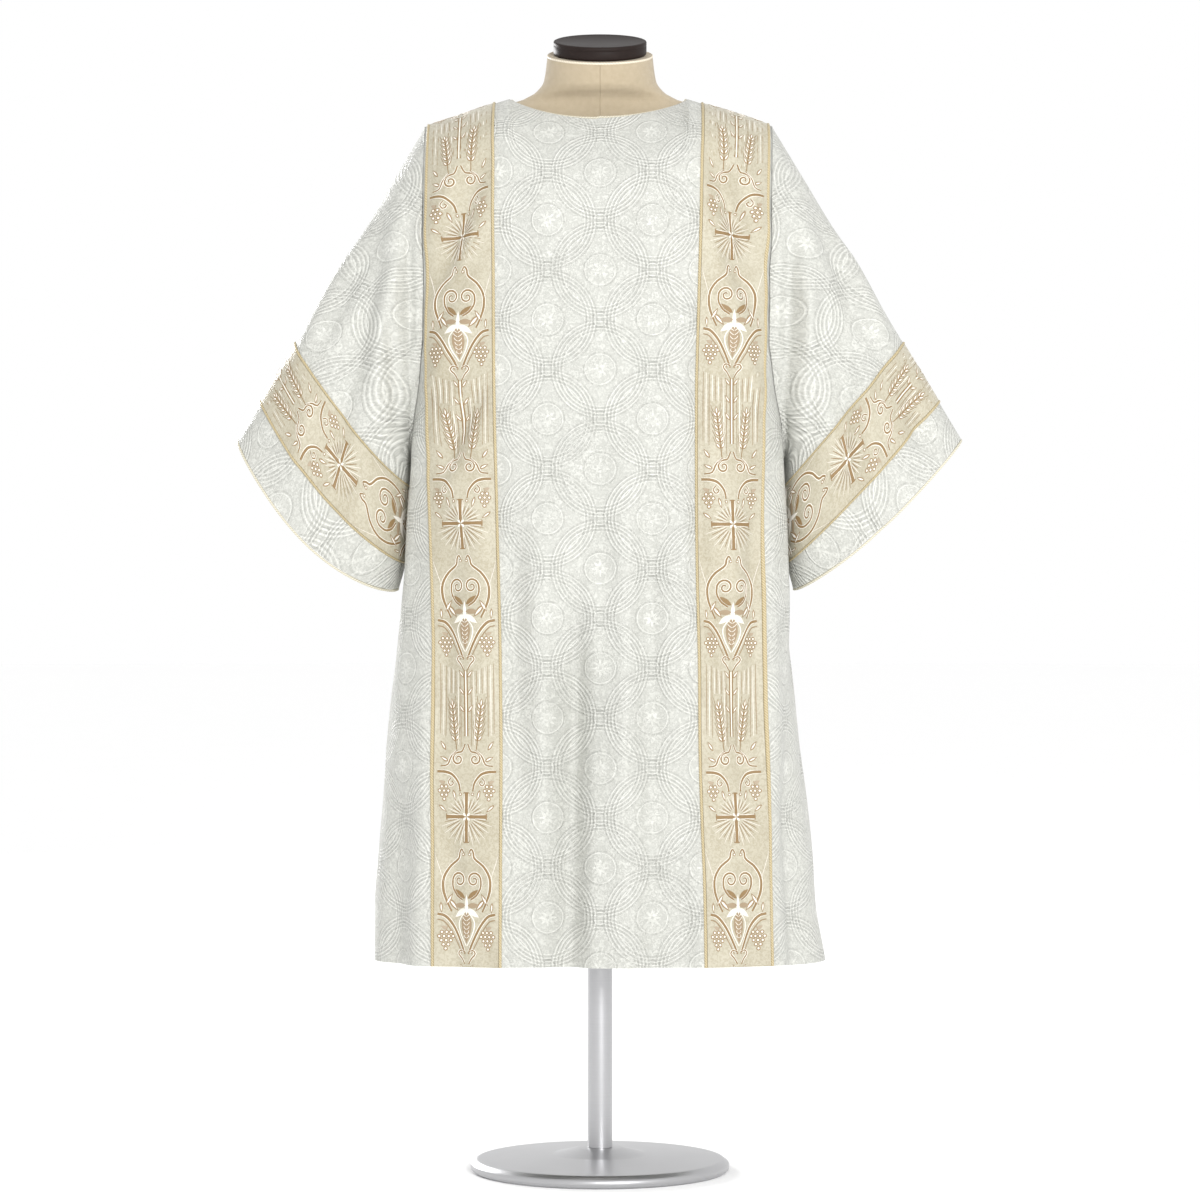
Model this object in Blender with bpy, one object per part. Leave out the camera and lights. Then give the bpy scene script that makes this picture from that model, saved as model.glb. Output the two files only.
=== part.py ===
"""Dalmatic on a limbless dress form.

A dalmatic is a knee-length vestment with wide sleeves and open sides. This one is ivory damask with two
vertical bands, a band round each sleeve, and a fine piping along every band. It hangs hollow on a linen
dress form, which stands on a pole and a round base.

Frame: metres, +Z up. The front faces -Y and +X is the wearer's left. The origin is the middle of the
base's underside, on the surface that the object stands on.

How the cloth is worked out: a panel is a function of two numbers. ACROSS runs from -3, the right side
seam, over 0, the middle, to 3, the left side seam: 1 and 2 are the edges of a band. LEVEL runs from 0,
the hem, over 1, the underarm, and 2, the yoke, to 3, the shoulder seam or the neckline. A sleeve starts
from the panels' own armhole edges and is carried out to its cuff. Bands and piping are a panel's or a
sleeve's own points, moved out along its normals.
"""

import math

import bmesh
import bpy
import numpy as np

# Cloth
WALL = 0.002
SEAM_GAP = 0.0003
ARMHOLE_GAP = 0.0005
TRIM_GAP = 0.0003
PIPING_GAP = 0.0005
BAND_WALL = 0.0010
PIPING_WIDTH = 0.004
PIPING_HEIGHT = 0.0018
PIPING_CLEARANCE = 0.08
PIPING_PROFILE = ((0.0, 0.0), (0.25, 1.0), (0.75, 1.0), (1.0, 0.0))
BINDING_WIDTH = 0.003
BINDING_GAP = 0.0006
BINDING_PROUD = 0.0004
DIFFERENCE = 0.001
TOLERANCE = 0.001

# Heights on the garment
HEM = 0.277
UNDERARM = 0.915
YOKE = 1.15
NECK_POINT = 1.391

# Shoulders and neckline
NECK_HALF = 0.115
NECK_SHARE = 0.87
SHOULDER_SLOPE = 0.314
SHOULDER_ROUND = 0.100
NECK_FRONT_DEPTH = 0.078
NECK_BACK_DEPTH = 0.075
NECK_FRONT_DROP = 0.033
NECK_BACK_DROP = 0.006
NECK_EASE = 1.6

# Body sections: a superellipse at each height. BAND is where a band starts, from the middle.
SQUARENESS = 2.8
BAND_WIDTH = 0.090
ARMHOLE_MARGIN = 0.003
ARMHOLE_CURVE = 0.155
ARMHOLE_BEND = 0.7
BODY_COLUMNS = ("height", "width_right", "width_left", "front", "back", "band_right", "band_left")
BODY_ROWS = (
    (0.277, 0.2925, 0.2915, 0.155, 0.150, 0.1236, 0.1310),
    (0.351, 0.2925, 0.2800, 0.152, 0.145, 0.1236, 0.1300),
    (0.403, 0.2886, 0.2770, 0.150, 0.140, 0.1237, 0.1290),
    (0.481, 0.2821, 0.2691, 0.149, 0.135, 0.1238, 0.1265),
    (0.559, 0.2756, 0.2587, 0.148, 0.131, 0.1240, 0.1245),
    (0.663, 0.2655, 0.2496, 0.147, 0.130, 0.1250, 0.1235),
    (0.768, 0.2530, 0.2430, 0.145, 0.128, 0.1275, 0.1225),
    (0.848, 0.2480, 0.2400, 0.143, 0.127, 0.1295, 0.1220),
    (0.915, 0.2420, 0.2365, 0.142, 0.127, 0.1310, 0.1217),
    (1.000, 0.2400, 0.2350, 0.140, 0.127, 0.1320, 0.1215),
    (1.100, 0.2425, 0.2380, 0.138, 0.128, 0.1330, 0.1230),
    (1.250, 0.2440, 0.2395, 0.131, 0.124, 0.1340, 0.1265),
    (1.400, 0.2440, 0.2395, 0.125, 0.115, 0.1345, 0.1310),
)

# The soft pleat that stands forward of the side seam, under the sleeve
PLEAT_FOOT = 0.60
PLEAT_LOW = 0.76
PLEAT_HIGH = 0.93
PLEAT_TOP = 1.02
PLEAT_TURN = 1.30
PLEAT_SPREAD = 0.16
PLEAT_OUT = 0.010
HOLLOW_IN = 0.006
HOLLOW_SPREAD = 0.35

# The sides are open at the hem
SLIT_TOP = 0.45
SLIT_OPEN = 0.012
SLIT_CURVE = 1.5

# Folds in front view: each is a soft ridge (+) or trough (-) along a line from its top to its foot.
# OPEN is 1 where the fold runs out at the hem.
FOLD_COLUMNS = ("top_x", "top_z", "foot_x", "foot_z", "width", "depth", "open")
FRONT_FOLDS = (
    (-0.025, 0.760, -0.046, 0.277, 0.028, -0.030, 1),
    (0.030, 0.700, 0.038, 0.277, 0.034, 0.009, 1),
    (-0.088, 0.720, -0.098, 0.277, 0.022, -0.008, 1),
    (0.095, 0.620, 0.104, 0.277, 0.024, -0.007, 1),
    (-0.150, 1.335, -0.216, 1.100, 0.020, -0.010, 0),
    (-0.135, 1.270, -0.222, 1.020, 0.018, 0.008, 0),
    (0.140, 1.335, 0.206, 1.120, 0.020, -0.010, 0),
    (0.125, 1.270, 0.200, 1.030, 0.018, 0.006, 0),
    (-0.140, 1.020, -0.222, 0.890, 0.018, -0.006, 0),
    (-0.130, 0.780, -0.215, 0.930, 0.018, 0.005, 0),
    (0.196, 0.960, 0.204, 0.440, 0.020, -0.012, 0),
    (0.168, 0.900, 0.172, 0.500, 0.020, 0.005, 0),
    (0.245, 0.560, 0.262, 0.277, 0.018, -0.012, 1),
    (-0.245, 0.520, -0.262, 0.277, 0.020, -0.007, 1),
)
BACK_FOLDS = (
    (0.060, 0.760, 0.072, 0.277, 0.034, -0.020, 1),
    (-0.020, 0.800, -0.028, 0.277, 0.036, 0.010, 1),
    (-0.085, 0.800, -0.098, 0.277, 0.030, -0.016, 1),
    (0.150, 1.300, 0.205, 1.060, 0.020, -0.009, 0),
    (-0.145, 1.310, -0.200, 1.080, 0.020, -0.008, 0),
    (0.180, 0.820, 0.196, 0.277, 0.026, -0.010, 1),
    (-0.190, 0.700, -0.205, 0.277, 0.026, -0.009, 1),
)
FOLD_FADE = 0.35
SEAM_FADE = 0.030

# Sleeves: the upper edge is a line from the shoulder to the cuff, and each row is a ring, REACH of the
# way out. GAP is how far its lower edge lies from the body's side, SAG how far it hangs below its chord.
SLEEVE_TOP_X = 0.2315
SLEEVE_TOP_Z = 1.341
SLEEVE_OUT = 0.2370
SLEEVE_DROP = 0.390
SLEEVE_FLATTEN = 0.8
SLEEVE_BLEND = 0.6
SLEEVE_FOLD_START = 0.1
SAG_LEAN = 1.3
SAG_FULLNESS = 0.6
SLEEVE_COLUMNS = ("reach", "gap", "low_z", "depth", "sag_right", "sag_left")
SLEEVE_ROWS = (
    (0.000, 0.0000, 0.915, 0.072, 0.000, 0.000),
    (0.040, 0.0060, 0.921, 0.074, 0.000, 0.000),
    (0.120, 0.0080, 0.921, 0.076, 0.001, 0.000),
    (0.400, 0.0080, 0.917, 0.078, 0.006, 0.000),
    (0.600, 0.0070, 0.907, 0.077, 0.010, 0.000),
    (0.688, 0.0065, 0.886, 0.075, 0.012, 0.001),
    (0.873, 0.0075, 0.792, 0.070, 0.020, 0.005),
    (1.000, 0.0130, 0.757, 0.064, 0.037, 0.016),
)
SLEEVE_FOLDS_RIGHT = (
    (-0.269, 1.250, -0.325, 0.990, 0.018, -0.012, 0),
    (-0.262, 1.230, -0.288, 0.900, 0.022, 0.008, 0),
    (-0.243, 1.280, -0.243, 0.980, 0.012, -0.010, 0),
    (-0.345, 1.120, -0.420, 0.860, 0.024, 0.005, 0),
)
SLEEVE_FOLDS_LEFT = (
    (0.247, 1.270, 0.238, 0.960, 0.012, -0.010, 0),
    (0.273, 1.230, 0.262, 0.900, 0.022, 0.008, 0),
    (0.318, 1.170, 0.312, 0.930, 0.018, -0.007, 0),
    (0.373, 1.080, 0.425, 0.890, 0.020, -0.007, 0),
)
BAND_UPPER = 0.688
BAND_LOWER = 0.873
PIPING_REACH = 0.0087

# Grid lines of the cloth
CENTRE_LINES = (0.0, 0.22, 0.44, 0.62, 0.76, NECK_SHARE)
BAND_SEGMENTS = 3
SIDE_SEGMENTS = 4
SKIRT_SEGMENTS = 10
ARMHOLE_LEVELS = (1.106, 1.234, 1.404, 1.66, 2.0)
SHOULDER_LEVELS = (2.30, 2.55, 2.72, 2.85, 2.94, 2.985, 3.0)
SLEEVE_REACHES = (0.0, 0.04, 0.11, 0.20, 0.30, 0.40, 0.50, 0.60)
BAND_REACHES = 3
CUFF_REACHES = (0.94, 1.0)

# Dress form: rings from the hips up. TILT raises a ring's back and drops its front.
FORM_SIDES = 32
FORM_COLUMNS = ("height", "half_width", "half_depth", "squareness", "tilt")
FORM_ROWS = (
    (0.700, 0.140, 0.090, 2.3, 0.0),
    (0.712, 0.152, 0.100, 2.3, 0.0),
    (0.760, 0.158, 0.104, 2.3, 0.0),
    (0.880, 0.150, 0.098, 2.3, 0.0),
    (0.990, 0.144, 0.094, 2.3, 0.0),
    (1.100, 0.154, 0.102, 2.3, 0.0),
    (1.200, 0.166, 0.104, 2.3, 0.0),
    (1.270, 0.182, 0.104, 2.2, 0.0),
    (1.315, 0.198, 0.088, 2.0, 0.0),
    (1.3430, 0.2055, 0.064, 1.7, 0.0),
    (1.3596, 0.2045, 0.050, 1.45, 0.0),
    (1.3732, 0.1600, 0.047, 1.35, 0.0),
    (1.3872, 0.1150, 0.046, 1.35, 0.0),
    (1.3925, 0.0980, 0.050, 1.5, 0.0),
    (1.4000, 0.0840, 0.056, 1.75, 0.05),
    (1.4150, 0.0730, 0.061, 2.0, 0.15),
    (1.4495, 0.0680, 0.062, 2.0, 0.30),
)
CAP_RADIUS = 0.0605
CAP_HEIGHT = 0.019
CAP_EDGE = 0.002
CAP_DEPTH = 0.95
CAP_SIDES = 40
POLE_RADIUS = 0.016
POLE_SIDES = 24
BASE_SIDES = 56
BASE_TOP = 0.030
BASE_COLUMNS = ("radius", "height")
BASE_ROWS = (
    (0.164, 0.000),
    (0.168, 0.004),
    (0.168, 0.010),
    (0.160, 0.016),
    (0.060, 0.022),
    (0.028, BASE_TOP),
)

# Colours: red, green, blue, roughness, metallic
FINISHES = {
    "ivory_damask": (0.83, 0.84, 0.79, 0.55, 0.0),
    "woven_band": (0.78, 0.70, 0.55, 0.45, 0.0),
    "gold_piping": (0.74, 0.61, 0.34, 0.40, 0.0),
    "linen": (0.60, 0.52, 0.40, 0.85, 0.0),
    "dark_cap": (0.03, 0.022, 0.018, 0.35, 0.0),
    "stand_metal": (0.55, 0.55, 0.56, 0.30, 1.0),
}


def columns(names, rows):
    """A table as one array for each named column."""
    return dict(zip(names, np.array(rows, dtype=float).T))


BODY = columns(BODY_COLUMNS, BODY_ROWS)
SLEEVE = columns(SLEEVE_COLUMNS, SLEEVE_ROWS)
FORM = columns(FORM_COLUMNS, FORM_ROWS)
BASE = columns(BASE_COLUMNS, BASE_ROWS)


def through(place, places, values):
    """A smooth curve through a table's rows that never swings past them (a monotone cubic)."""
    place = np.clip(place, places[0], places[-1])
    widths = np.diff(places)
    slopes = np.diff(values) / widths
    tangents = np.zeros(len(places))
    rising = slopes[:-1] * slopes[1:] > 0
    pairs = slopes[:-1] + slopes[1:]
    tangents[1:-1] = np.where(rising, 2 * slopes[:-1] * slopes[1:] / np.where(rising, pairs, 1), 0)
    tangents[0] = slopes[0]
    tangents[-1] = slopes[-1]
    row = np.clip(np.searchsorted(places, place, side="right") - 1, 0, len(widths) - 1)
    t = (place - places[row]) / widths[row]
    start = (1 + 2 * t) * (1 - t) ** 2 * values[row] + t**2 * (3 - 2 * t) * values[row + 1]
    swing = t * (1 - t) ** 2 * tangents[row] - t**2 * (1 - t) * tangents[row + 1]
    return start + widths[row] * swing


def ease(value):
    """0 below 0, 1 above 1, and a smooth step between."""
    value = np.clip(value, 0, 1)
    return value * value * (3 - 2 * value)


def unit(vectors):
    return vectors / np.maximum(np.linalg.norm(vectors, axis=-1, keepdims=True), 1e-12)


def folds(x, z, rows):
    """How far the folds of a table move a point out: each a bell across its line, fading at its ends."""
    moved = np.zeros(np.broadcast(x, z).shape)
    for row in rows:
        fold = dict(zip(FOLD_COLUMNS, row))
        run = np.array((fold["foot_x"] - fold["top_x"], fold["foot_z"] - fold["top_z"]))
        length = np.hypot(*run)
        run = run / length
        from_x = x - fold["top_x"]
        from_z = z - fold["top_z"]
        along = (from_x * run[0] + from_z * run[1]) / length
        beside = from_x * run[1] - from_z * run[0]
        fade = ease(along / FOLD_FADE) * np.maximum(ease((1 - along) / FOLD_FADE), fold["open"])
        moved = moved + fold["depth"] * np.exp(-((beside / fold["width"]) ** 2)) * fade
    return moved


def heights(across, level, front):
    """A panel's height at a level, and the height of its top edge: straight shoulders, a dipping neck."""
    share = np.clip(np.abs(across) / NECK_SHARE, 0, 1)
    dip = np.sqrt(1 - share**2)
    band = np.where(across < 0, BODY["band_right"][-1], BODY["band_left"][-1])
    span = np.clip(np.abs(across), 0, 1) * band + np.clip(np.abs(across) - 1, 0, 1) * BAND_WIDTH
    span = span + np.clip(np.abs(across) - 2, 0, 1) * ARMHOLE_MARGIN
    ridge = NECK_POINT - SHOULDER_SLOPE * (np.maximum(span, NECK_SHARE * band) - NECK_HALF)
    top = ridge - dip**NECK_EASE * (NECK_FRONT_DROP if front else NECK_BACK_DROP)
    low = HEM + (UNDERARM - HEM) * np.clip(level, 0, 1)
    low = low + (YOKE - UNDERARM) * np.clip(level - 1, 0, 1)
    return low + (top - YOKE) * np.clip(level - 2, 0, 1), top, dip


def pleat_strength(z):
    """How much of the side pleat there is at a height: it fades in from its foot and out at its top."""
    rise = ease((z - PLEAT_FOOT) / (PLEAT_LOW - PLEAT_FOOT))
    return rise * ease((PLEAT_TOP - z) / (PLEAT_TOP - PLEAT_HIGH))


def smooth_panel(across, level, front):
    """The panel before its folds: superellipses at each height, rounded over to the shoulder seam."""
    across, level = np.broadcast_arrays(np.clip(across, -3.0, 3.0), np.clip(level, 0.0, 3.0))
    z, top, dip = heights(across, level, front)
    right = across < 0
    place = BODY["height"]
    width, band = (
        np.where(right, through(z, place, BODY[size + "_right"]), through(z, place, BODY[size + "_left"]))
        for size in ("width", "band")
    )
    deep = through(z, place, BODY["front"] if front else BODY["back"])
    part = np.abs(across)
    span = np.clip(part, 0, 1) * band + np.clip(part - 1, 0, 1) * BAND_WIDTH
    power = SQUARENESS / 2
    turn = np.arcsin((span / width) ** power)
    edge = np.arcsin(((span + ARMHOLE_MARGIN) / width) ** power)
    closing = 1 - np.clip((z - UNDERARM) / ARMHOLE_CURVE, 0, 1) ** ARMHOLE_BEND
    last = edge + (math.pi / 2 - edge) * closing
    side = np.clip(part - 2, 0, 1)
    turn = turn + (last - turn) * side
    x = width * np.sin(turn) ** (1 / power)
    y = deep * np.maximum(np.cos(turn), 0) ** (1 / power)
    pleat = pleat_strength(z)
    x = x + pleat * PLEAT_OUT * np.exp(-(((turn - PLEAT_TURN) / PLEAT_SPREAD) ** 2))
    x = x - pleat * HOLLOW_IN * np.exp(-(((math.pi / 2 - turn) / HOLLOW_SPREAD) ** 2))
    y_top = dip * (NECK_FRONT_DEPTH if front else NECK_BACK_DEPTH)
    fall = np.clip((top - z) / SHOULDER_ROUND, 0, 1)
    rounding = (1 - dip) * np.sqrt(1 - (1 - fall) ** 2) + dip * np.sin(fall * math.pi / 2)
    y = y_top + (y - y_top) * rounding
    opened = SLIT_OPEN * np.clip((SLIT_TOP - z) / (SLIT_TOP - HEM), 0, 1) ** SLIT_CURVE
    y = np.maximum(y + opened * side**2, SEAM_GAP / 2)
    return np.stack((np.where(right, -x, x), -y if front else y, z), axis=-1)


def outward(surface, first, second, front):
    """Unit normals of a surface of two numbers, from points a small step to each side."""
    run = surface(first + DIFFERENCE, second, front) - surface(first - DIFFERENCE, second, front)
    climb = surface(first, second + DIFFERENCE, front) - surface(first, second - DIFFERENCE, front)
    normal = unit(np.cross(run, climb))
    return normal if front else -normal


def panel(across, level, front):
    """A front or back panel's outer surface, with its folds."""
    across, level = np.broadcast_arrays(across, level)
    point = smooth_panel(across, level, front)
    moved = folds(point[..., 0], point[..., 2], FRONT_FOLDS if front else BACK_FOLDS)
    moved = moved * ease(np.abs(point[..., 1]) / SEAM_FADE)
    return point + outward(smooth_panel, across, level, front) * moved[..., None]


def side_width(z, left):
    """How far out the side seam lies at a height."""
    width = through(z, BODY["height"], BODY["width_left" if left else "width_right"])
    return width - pleat_strength(z) * HOLLOW_IN


def sleeve_ring(reach, fall, left):
    """A smooth ring of a sleeve: FALL runs from 0 at its upper edge to 1 at its lower edge, in front."""
    top_x = SLEEVE_TOP_X + SLEEVE_OUT * reach
    top_z = SLEEVE_TOP_Z - SLEEVE_DROP * reach
    place = SLEEVE["reach"]
    low_z = through(reach, place, SLEEVE["low_z"])
    low_x = side_width(low_z, left) + through(reach, place, SLEEVE["gap"])
    chord_x = low_x - top_x
    chord_z = low_z - top_z
    length = np.hypot(chord_x, chord_z)
    sag = through(reach, place, SLEEVE["sag_left" if left else "sag_right"])
    sag = sag * np.maximum(np.sin(math.pi * fall**SAG_LEAN), 0) ** SAG_FULLNESS
    x = top_x + chord_x * fall - sag * chord_z / length
    z = top_z + chord_z * fall + sag * chord_x / length
    round_y = np.sqrt(np.clip(1 - (1 - 2 * fall) ** 2, 0, 1)) ** SLEEVE_FLATTEN
    y = through(reach, place, SLEEVE["depth"]) * round_y
    return np.stack((x if left else -x, -y, z), axis=-1)


def smooth_sleeve(reach, level, left, front):
    """A sleeve before its folds: the armhole's edge, blended out into the sleeve's own rings."""
    reach, level = np.broadcast_arrays(np.clip(reach, 0.0, 1.0), np.clip(level, 1.0, 3.0))
    edge = panel(3.0 if left else -3.0, level, front)
    edge[..., 1] = np.where((level <= 1.0) | (level >= 3.0), 0.0, edge[..., 1])
    tip = panel(3.0 if left else -3.0, np.array(3.0), front)[..., 2]
    fall = np.clip((tip - edge[..., 2]) / (tip - UNDERARM), 0, 1)
    turned = np.array((1.0, 1.0 if front else -1.0, 1.0))
    ring = sleeve_ring(reach, fall, left) * turned
    start = sleeve_ring(np.zeros_like(reach), fall, left) * turned
    fade = np.clip(1 - reach / SLEEVE_BLEND, 0, 1) ** 2
    return ring + (edge - start) * fade[..., None]


def sleeve(reach, level, left, front):
    """A sleeve's outer surface, with its folds. They fade out at the armhole and at both edges."""
    reach, level = np.broadcast_arrays(reach, level)
    point = smooth_sleeve(reach, level, left, front)
    farther = smooth_sleeve(reach + DIFFERENCE, level, left, front)
    nearer = smooth_sleeve(reach - DIFFERENCE, level, left, front)
    higher = smooth_sleeve(reach, level + DIFFERENCE, left, front)
    lower = smooth_sleeve(reach, level - DIFFERENCE, left, front)
    normal = unit(np.cross(farther - nearer, higher - lower)) * (1 if left == front else -1)
    moved = folds(point[..., 0], point[..., 2], SLEEVE_FOLDS_LEFT if left else SLEEVE_FOLDS_RIGHT)
    moved = moved * ease(np.abs(point[..., 1]) / SEAM_FADE) * ease(reach / SLEEVE_FOLD_START)
    return point + normal * moved[..., None]


def finish(name):
    """The material of a finish, made once."""
    if name in bpy.data.materials:
        return bpy.data.materials[name]
    red, green, blue, roughness, metallic = FINISHES[name]
    made = bpy.data.materials.new(name)
    made.use_nodes = True
    shader = made.node_tree.nodes["Principled BSDF"]
    shader.inputs["Base Color"].default_value = (red, green, blue, 1.0)
    shader.inputs["Roughness"].default_value = roughness
    shader.inputs["Metallic"].default_value = metallic
    return made


def add_object(name, points, faces, finish_name):
    """One closed body from its points and faces, with its faces turned outwards."""
    mesh = bpy.data.meshes.new(name)
    mesh.from_pydata(np.asarray(points).reshape(-1, 3).tolist(), [], faces)
    body = bmesh.new()
    body.from_mesh(mesh)
    bmesh.ops.recalc_face_normals(body, faces=body.faces)
    if body.calc_volume(signed=True) < 0:
        bmesh.ops.reverse_faces(body, faces=body.faces)
    body.to_mesh(mesh)
    body.free()
    mesh.shade_smooth()
    mesh.set_sharp_from_angle(angle=math.radians(40))
    mesh.materials.append(finish(finish_name))
    made = bpy.data.objects.new(name, mesh)
    bpy.context.scene.collection.objects.link(made)
    return made


def grid_normals(points, closed):
    """Unit normals of a grid of points, from each point's neighbours. A closed grid wraps across."""
    climb = np.gradient(points, axis=0)
    if closed:
        across = np.roll(points, -1, axis=1) - np.roll(points, 1, axis=1)
    else:
        across = np.gradient(points, axis=1)
    return unit(np.cross(across, climb))


def add_wall(name, outer, inner, closed, finish_name):
    """A wall between two grids of points: both skins split along the same diagonals, joined at the rims."""
    rows, count = outer.shape[:2]
    skin = rows * count
    index = np.arange(skin).reshape(rows, count)
    if closed:
        index = np.concatenate((index, index[:, :1]), axis=1)
    rims = [index[0], index[-1]]
    if not closed:
        rims += [index[:, 0], index[:, -1]]
    faces = []
    for low, high in zip(index[:-1].tolist(), index[1:].tolist()):
        for a, b, c, d in zip(low, low[1:], high[1:], high):
            faces += [(a, b, c), (a, c, d)]
            faces += [(a + skin, c + skin, b + skin), (a + skin, d + skin, c + skin)]
    for rim in rims:
        for a, b in zip(rim[:-1].tolist(), rim[1:].tolist()):
            faces += [(a, b, b + skin), (a, b + skin, a + skin)]
    points = np.concatenate((outer.reshape(-1, 3), inner.reshape(-1, 3)))
    return add_object(name, points, faces, finish_name)


def add_strip(name, sections, closed, finish_name):
    """A thin bar: the same four-cornered section carried along an edge, closed into a ring or capped."""
    count = len(sections)
    faces = []
    for i in range(count if closed else count - 1):
        k = (i + 1) % count
        for j in range(4):
            n = (j + 1) % 4
            faces += [(4 * i + j, 4 * i + n, 4 * k + j), (4 * i + n, 4 * k + n, 4 * k + j)]
    if not closed:
        last = 4 * (count - 1)
        faces += [(0, 2, 1), (0, 3, 2), (last, last + 1, last + 2), (last, last + 2, last + 3)]
    return add_object(name, sections, faces, finish_name)


def piping_sections(first, second, first_normal, second_normal):
    """Sections of a piping between two neighbouring grid lines: flat below, rounded up in the middle."""
    corners = []
    for share, lift in PIPING_PROFILE:
        share = PIPING_CLEARANCE + (1 - 2 * PIPING_CLEARANCE) * share
        point = first + (second - first) * share
        normal = unit(first_normal + (second_normal - first_normal) * share)
        corners.append(point + normal * (PIPING_GAP + lift * PIPING_HEIGHT))
    return np.stack(corners, axis=1)


def edge_sections(points, normals, outwards):
    """Sections of a narrow edging that sits just past an edge and stands a little proud of it outside."""
    corners = []
    for out, lift in ((0, 0), (1, 0), (1, 1), (0, 1)):
        beyond = outwards * (BINDING_GAP + out * BINDING_WIDTH)
        corners.append(points + beyond + normals * (BINDING_PROUD - lift * (WALL + BINDING_PROUD)))
    return np.stack(corners, axis=1)


def panel_lines():
    """The grid lines of a panel: across from seam to seam, and up from the hem."""
    piping = PIPING_WIDTH / BAND_WIDTH
    band = np.linspace(1 + piping, 2 - piping, BAND_SEGMENTS + 1)
    side = np.linspace(2, 3, SIDE_SEGMENTS + 1)
    half = np.concatenate((CENTRE_LINES, (1.0,), band, side))
    across = np.concatenate((-half[:0:-1], half))
    skirt = np.linspace(0, 1, SKIRT_SEGMENTS + 1)
    return across, np.concatenate((skirt, ARMHOLE_LEVELS, SHOULDER_LEVELS))


def make_panel(name, front):
    """A front or back panel. Its rims at the side and shoulder seams lie flat in the seams' plane."""
    across, level = panel_lines()
    if not front:
        across = across[::-1]
    points = panel(across[None, :], level[:, None], front)
    normals = grid_normals(points, closed=False)
    way = np.sign(points[..., :1])
    side_seam = (np.abs(across)[None, :] > 3 - TOLERANCE) & (level[:, None] < 1 + TOLERANCE)
    normals = np.where(side_seam[..., None], way * (1.0, 0.0, 0.0), normals)
    shoulder_seam = (np.abs(across)[None, :] > NECK_SHARE - TOLERANCE) & (level[:, None] > 3 - TOLERANCE)
    ridge = unit(way * (SHOULDER_SLOPE, 0.0, 0.0) + (0.0, 0.0, 1.0))
    normals = np.where(shoulder_seam[..., None], ridge, normals)
    add_wall(name, points, points - normals * WALL, False, "ivory_damask")
    return across, level, points, normals


def make_bands(name, cloth):
    """The vertical bands on a panel and the piping along both edges of each."""
    across, _, points, normals = cloth
    piping = PIPING_WIDTH / BAND_WIDTH
    for side, sign in (("right", -1), ("left", 1)):
        place = across * sign
        inner = np.flatnonzero((place > 1 + piping - TOLERANCE) & (place < 2 - piping + TOLERANCE))
        first, last = inner[0], inner[-1]
        skin = points[:, first : last + 1]
        out = normals[:, first : last + 1]
        lower = skin + out * TRIM_GAP
        upper = skin + out * (TRIM_GAP + BAND_WALL)
        add_wall(f"band_{name}_{side}", upper, lower, False, "woven_band")
        for column in (first - 1, last):
            outer_edge = np.abs(across[column : column + 2]).max() > 1.5
            edge = "outer" if outer_edge else "inner"
            sections = piping_sections(
                points[:, column], points[:, column + 1], normals[:, column], normals[:, column + 1]
            )
            add_strip(f"piping_{name}_{side}_{edge}", sections, False, "gold_piping")


def armhole(front_cloth, back_cloth, left):
    """The armhole's edge, as a ring down the front and up the back: points, normals, and the way out."""
    ring_points = []
    ring_normals = []
    for cloth, front in ((front_cloth, True), (back_cloth, False)):
        across, level, points, normals = cloth
        column = int(np.argmax(across if left else -across))
        rows = np.flatnonzero(level > 1 - TOLERANCE)[::-1]
        ring_points.append(points[rows, column])
        ring_normals.append(normals[rows, column])
    points = np.concatenate((ring_points[0], ring_points[1][-2:0:-1]))
    normals = np.concatenate((ring_normals[0], ring_normals[1][-2:0:-1]))
    low = len(ring_points[0]) - 1
    points[[0, low], 1] = 0
    along = np.roll(points, -1, axis=0) - np.roll(points, 1, axis=0)
    return points, normals, unit(np.cross(normals, along)) * (1 if left else -1)


def make_sleeve(side, front_cloth, back_cloth):
    """A sleeve, its band, the band's piping, and the edging of its cuff."""
    left = side == "left"
    level = front_cloth[1][front_cloth[1] > 1 - TOLERANCE][::-1]
    band = np.linspace(BAND_UPPER, BAND_LOWER, BAND_REACHES + 1)
    edges = (BAND_UPPER - PIPING_REACH, BAND_LOWER + PIPING_REACH)
    reach = np.concatenate((SLEEVE_REACHES, edges[:1], band, edges[1:], CUFF_REACHES))
    fore = sleeve(reach[:, None], level[None, :], left, True)
    aft = sleeve(reach[:, None], level[None, -2:0:-1], left, False)
    points = np.concatenate((fore, aft), axis=1)
    hole, hole_normals, away = armhole(front_cloth, back_cloth, left)
    points[0] = hole + away * ARMHOLE_GAP
    normals = grid_normals(points, closed=True) * (1 if left else -1)
    normals[0] = hole_normals
    if not left:
        points = points[:, ::-1]
        normals = normals[:, ::-1]
    add_wall(f"sleeve_{side}", points, points - normals * WALL, True, "ivory_damask")
    start = len(SLEEVE_REACHES) + 1
    stop = start + BAND_REACHES
    skin = points[start : stop + 1]
    out = normals[start : stop + 1]
    lower = skin + out * TRIM_GAP
    add_wall(f"sleeve_band_{side}", lower + out * BAND_WALL, lower, True, "woven_band")
    for edge, row in (("upper", start - 1), ("lower", stop)):
        sections = piping_sections(points[row], points[row + 1], normals[row], normals[row + 1])
        add_strip(f"sleeve_piping_{side}_{edge}", sections, True, "gold_piping")
    along = unit(np.roll(points[-1], -1, axis=0) - np.roll(points[-1], 1, axis=0))
    down = points[-1] - points[-2]
    down = unit(down - along * np.sum(down * along, axis=-1, keepdims=True))
    add_strip(f"cuff_edging_{side}", edge_sections(points[-1], normals[-1], down), True, "gold_piping")


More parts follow.
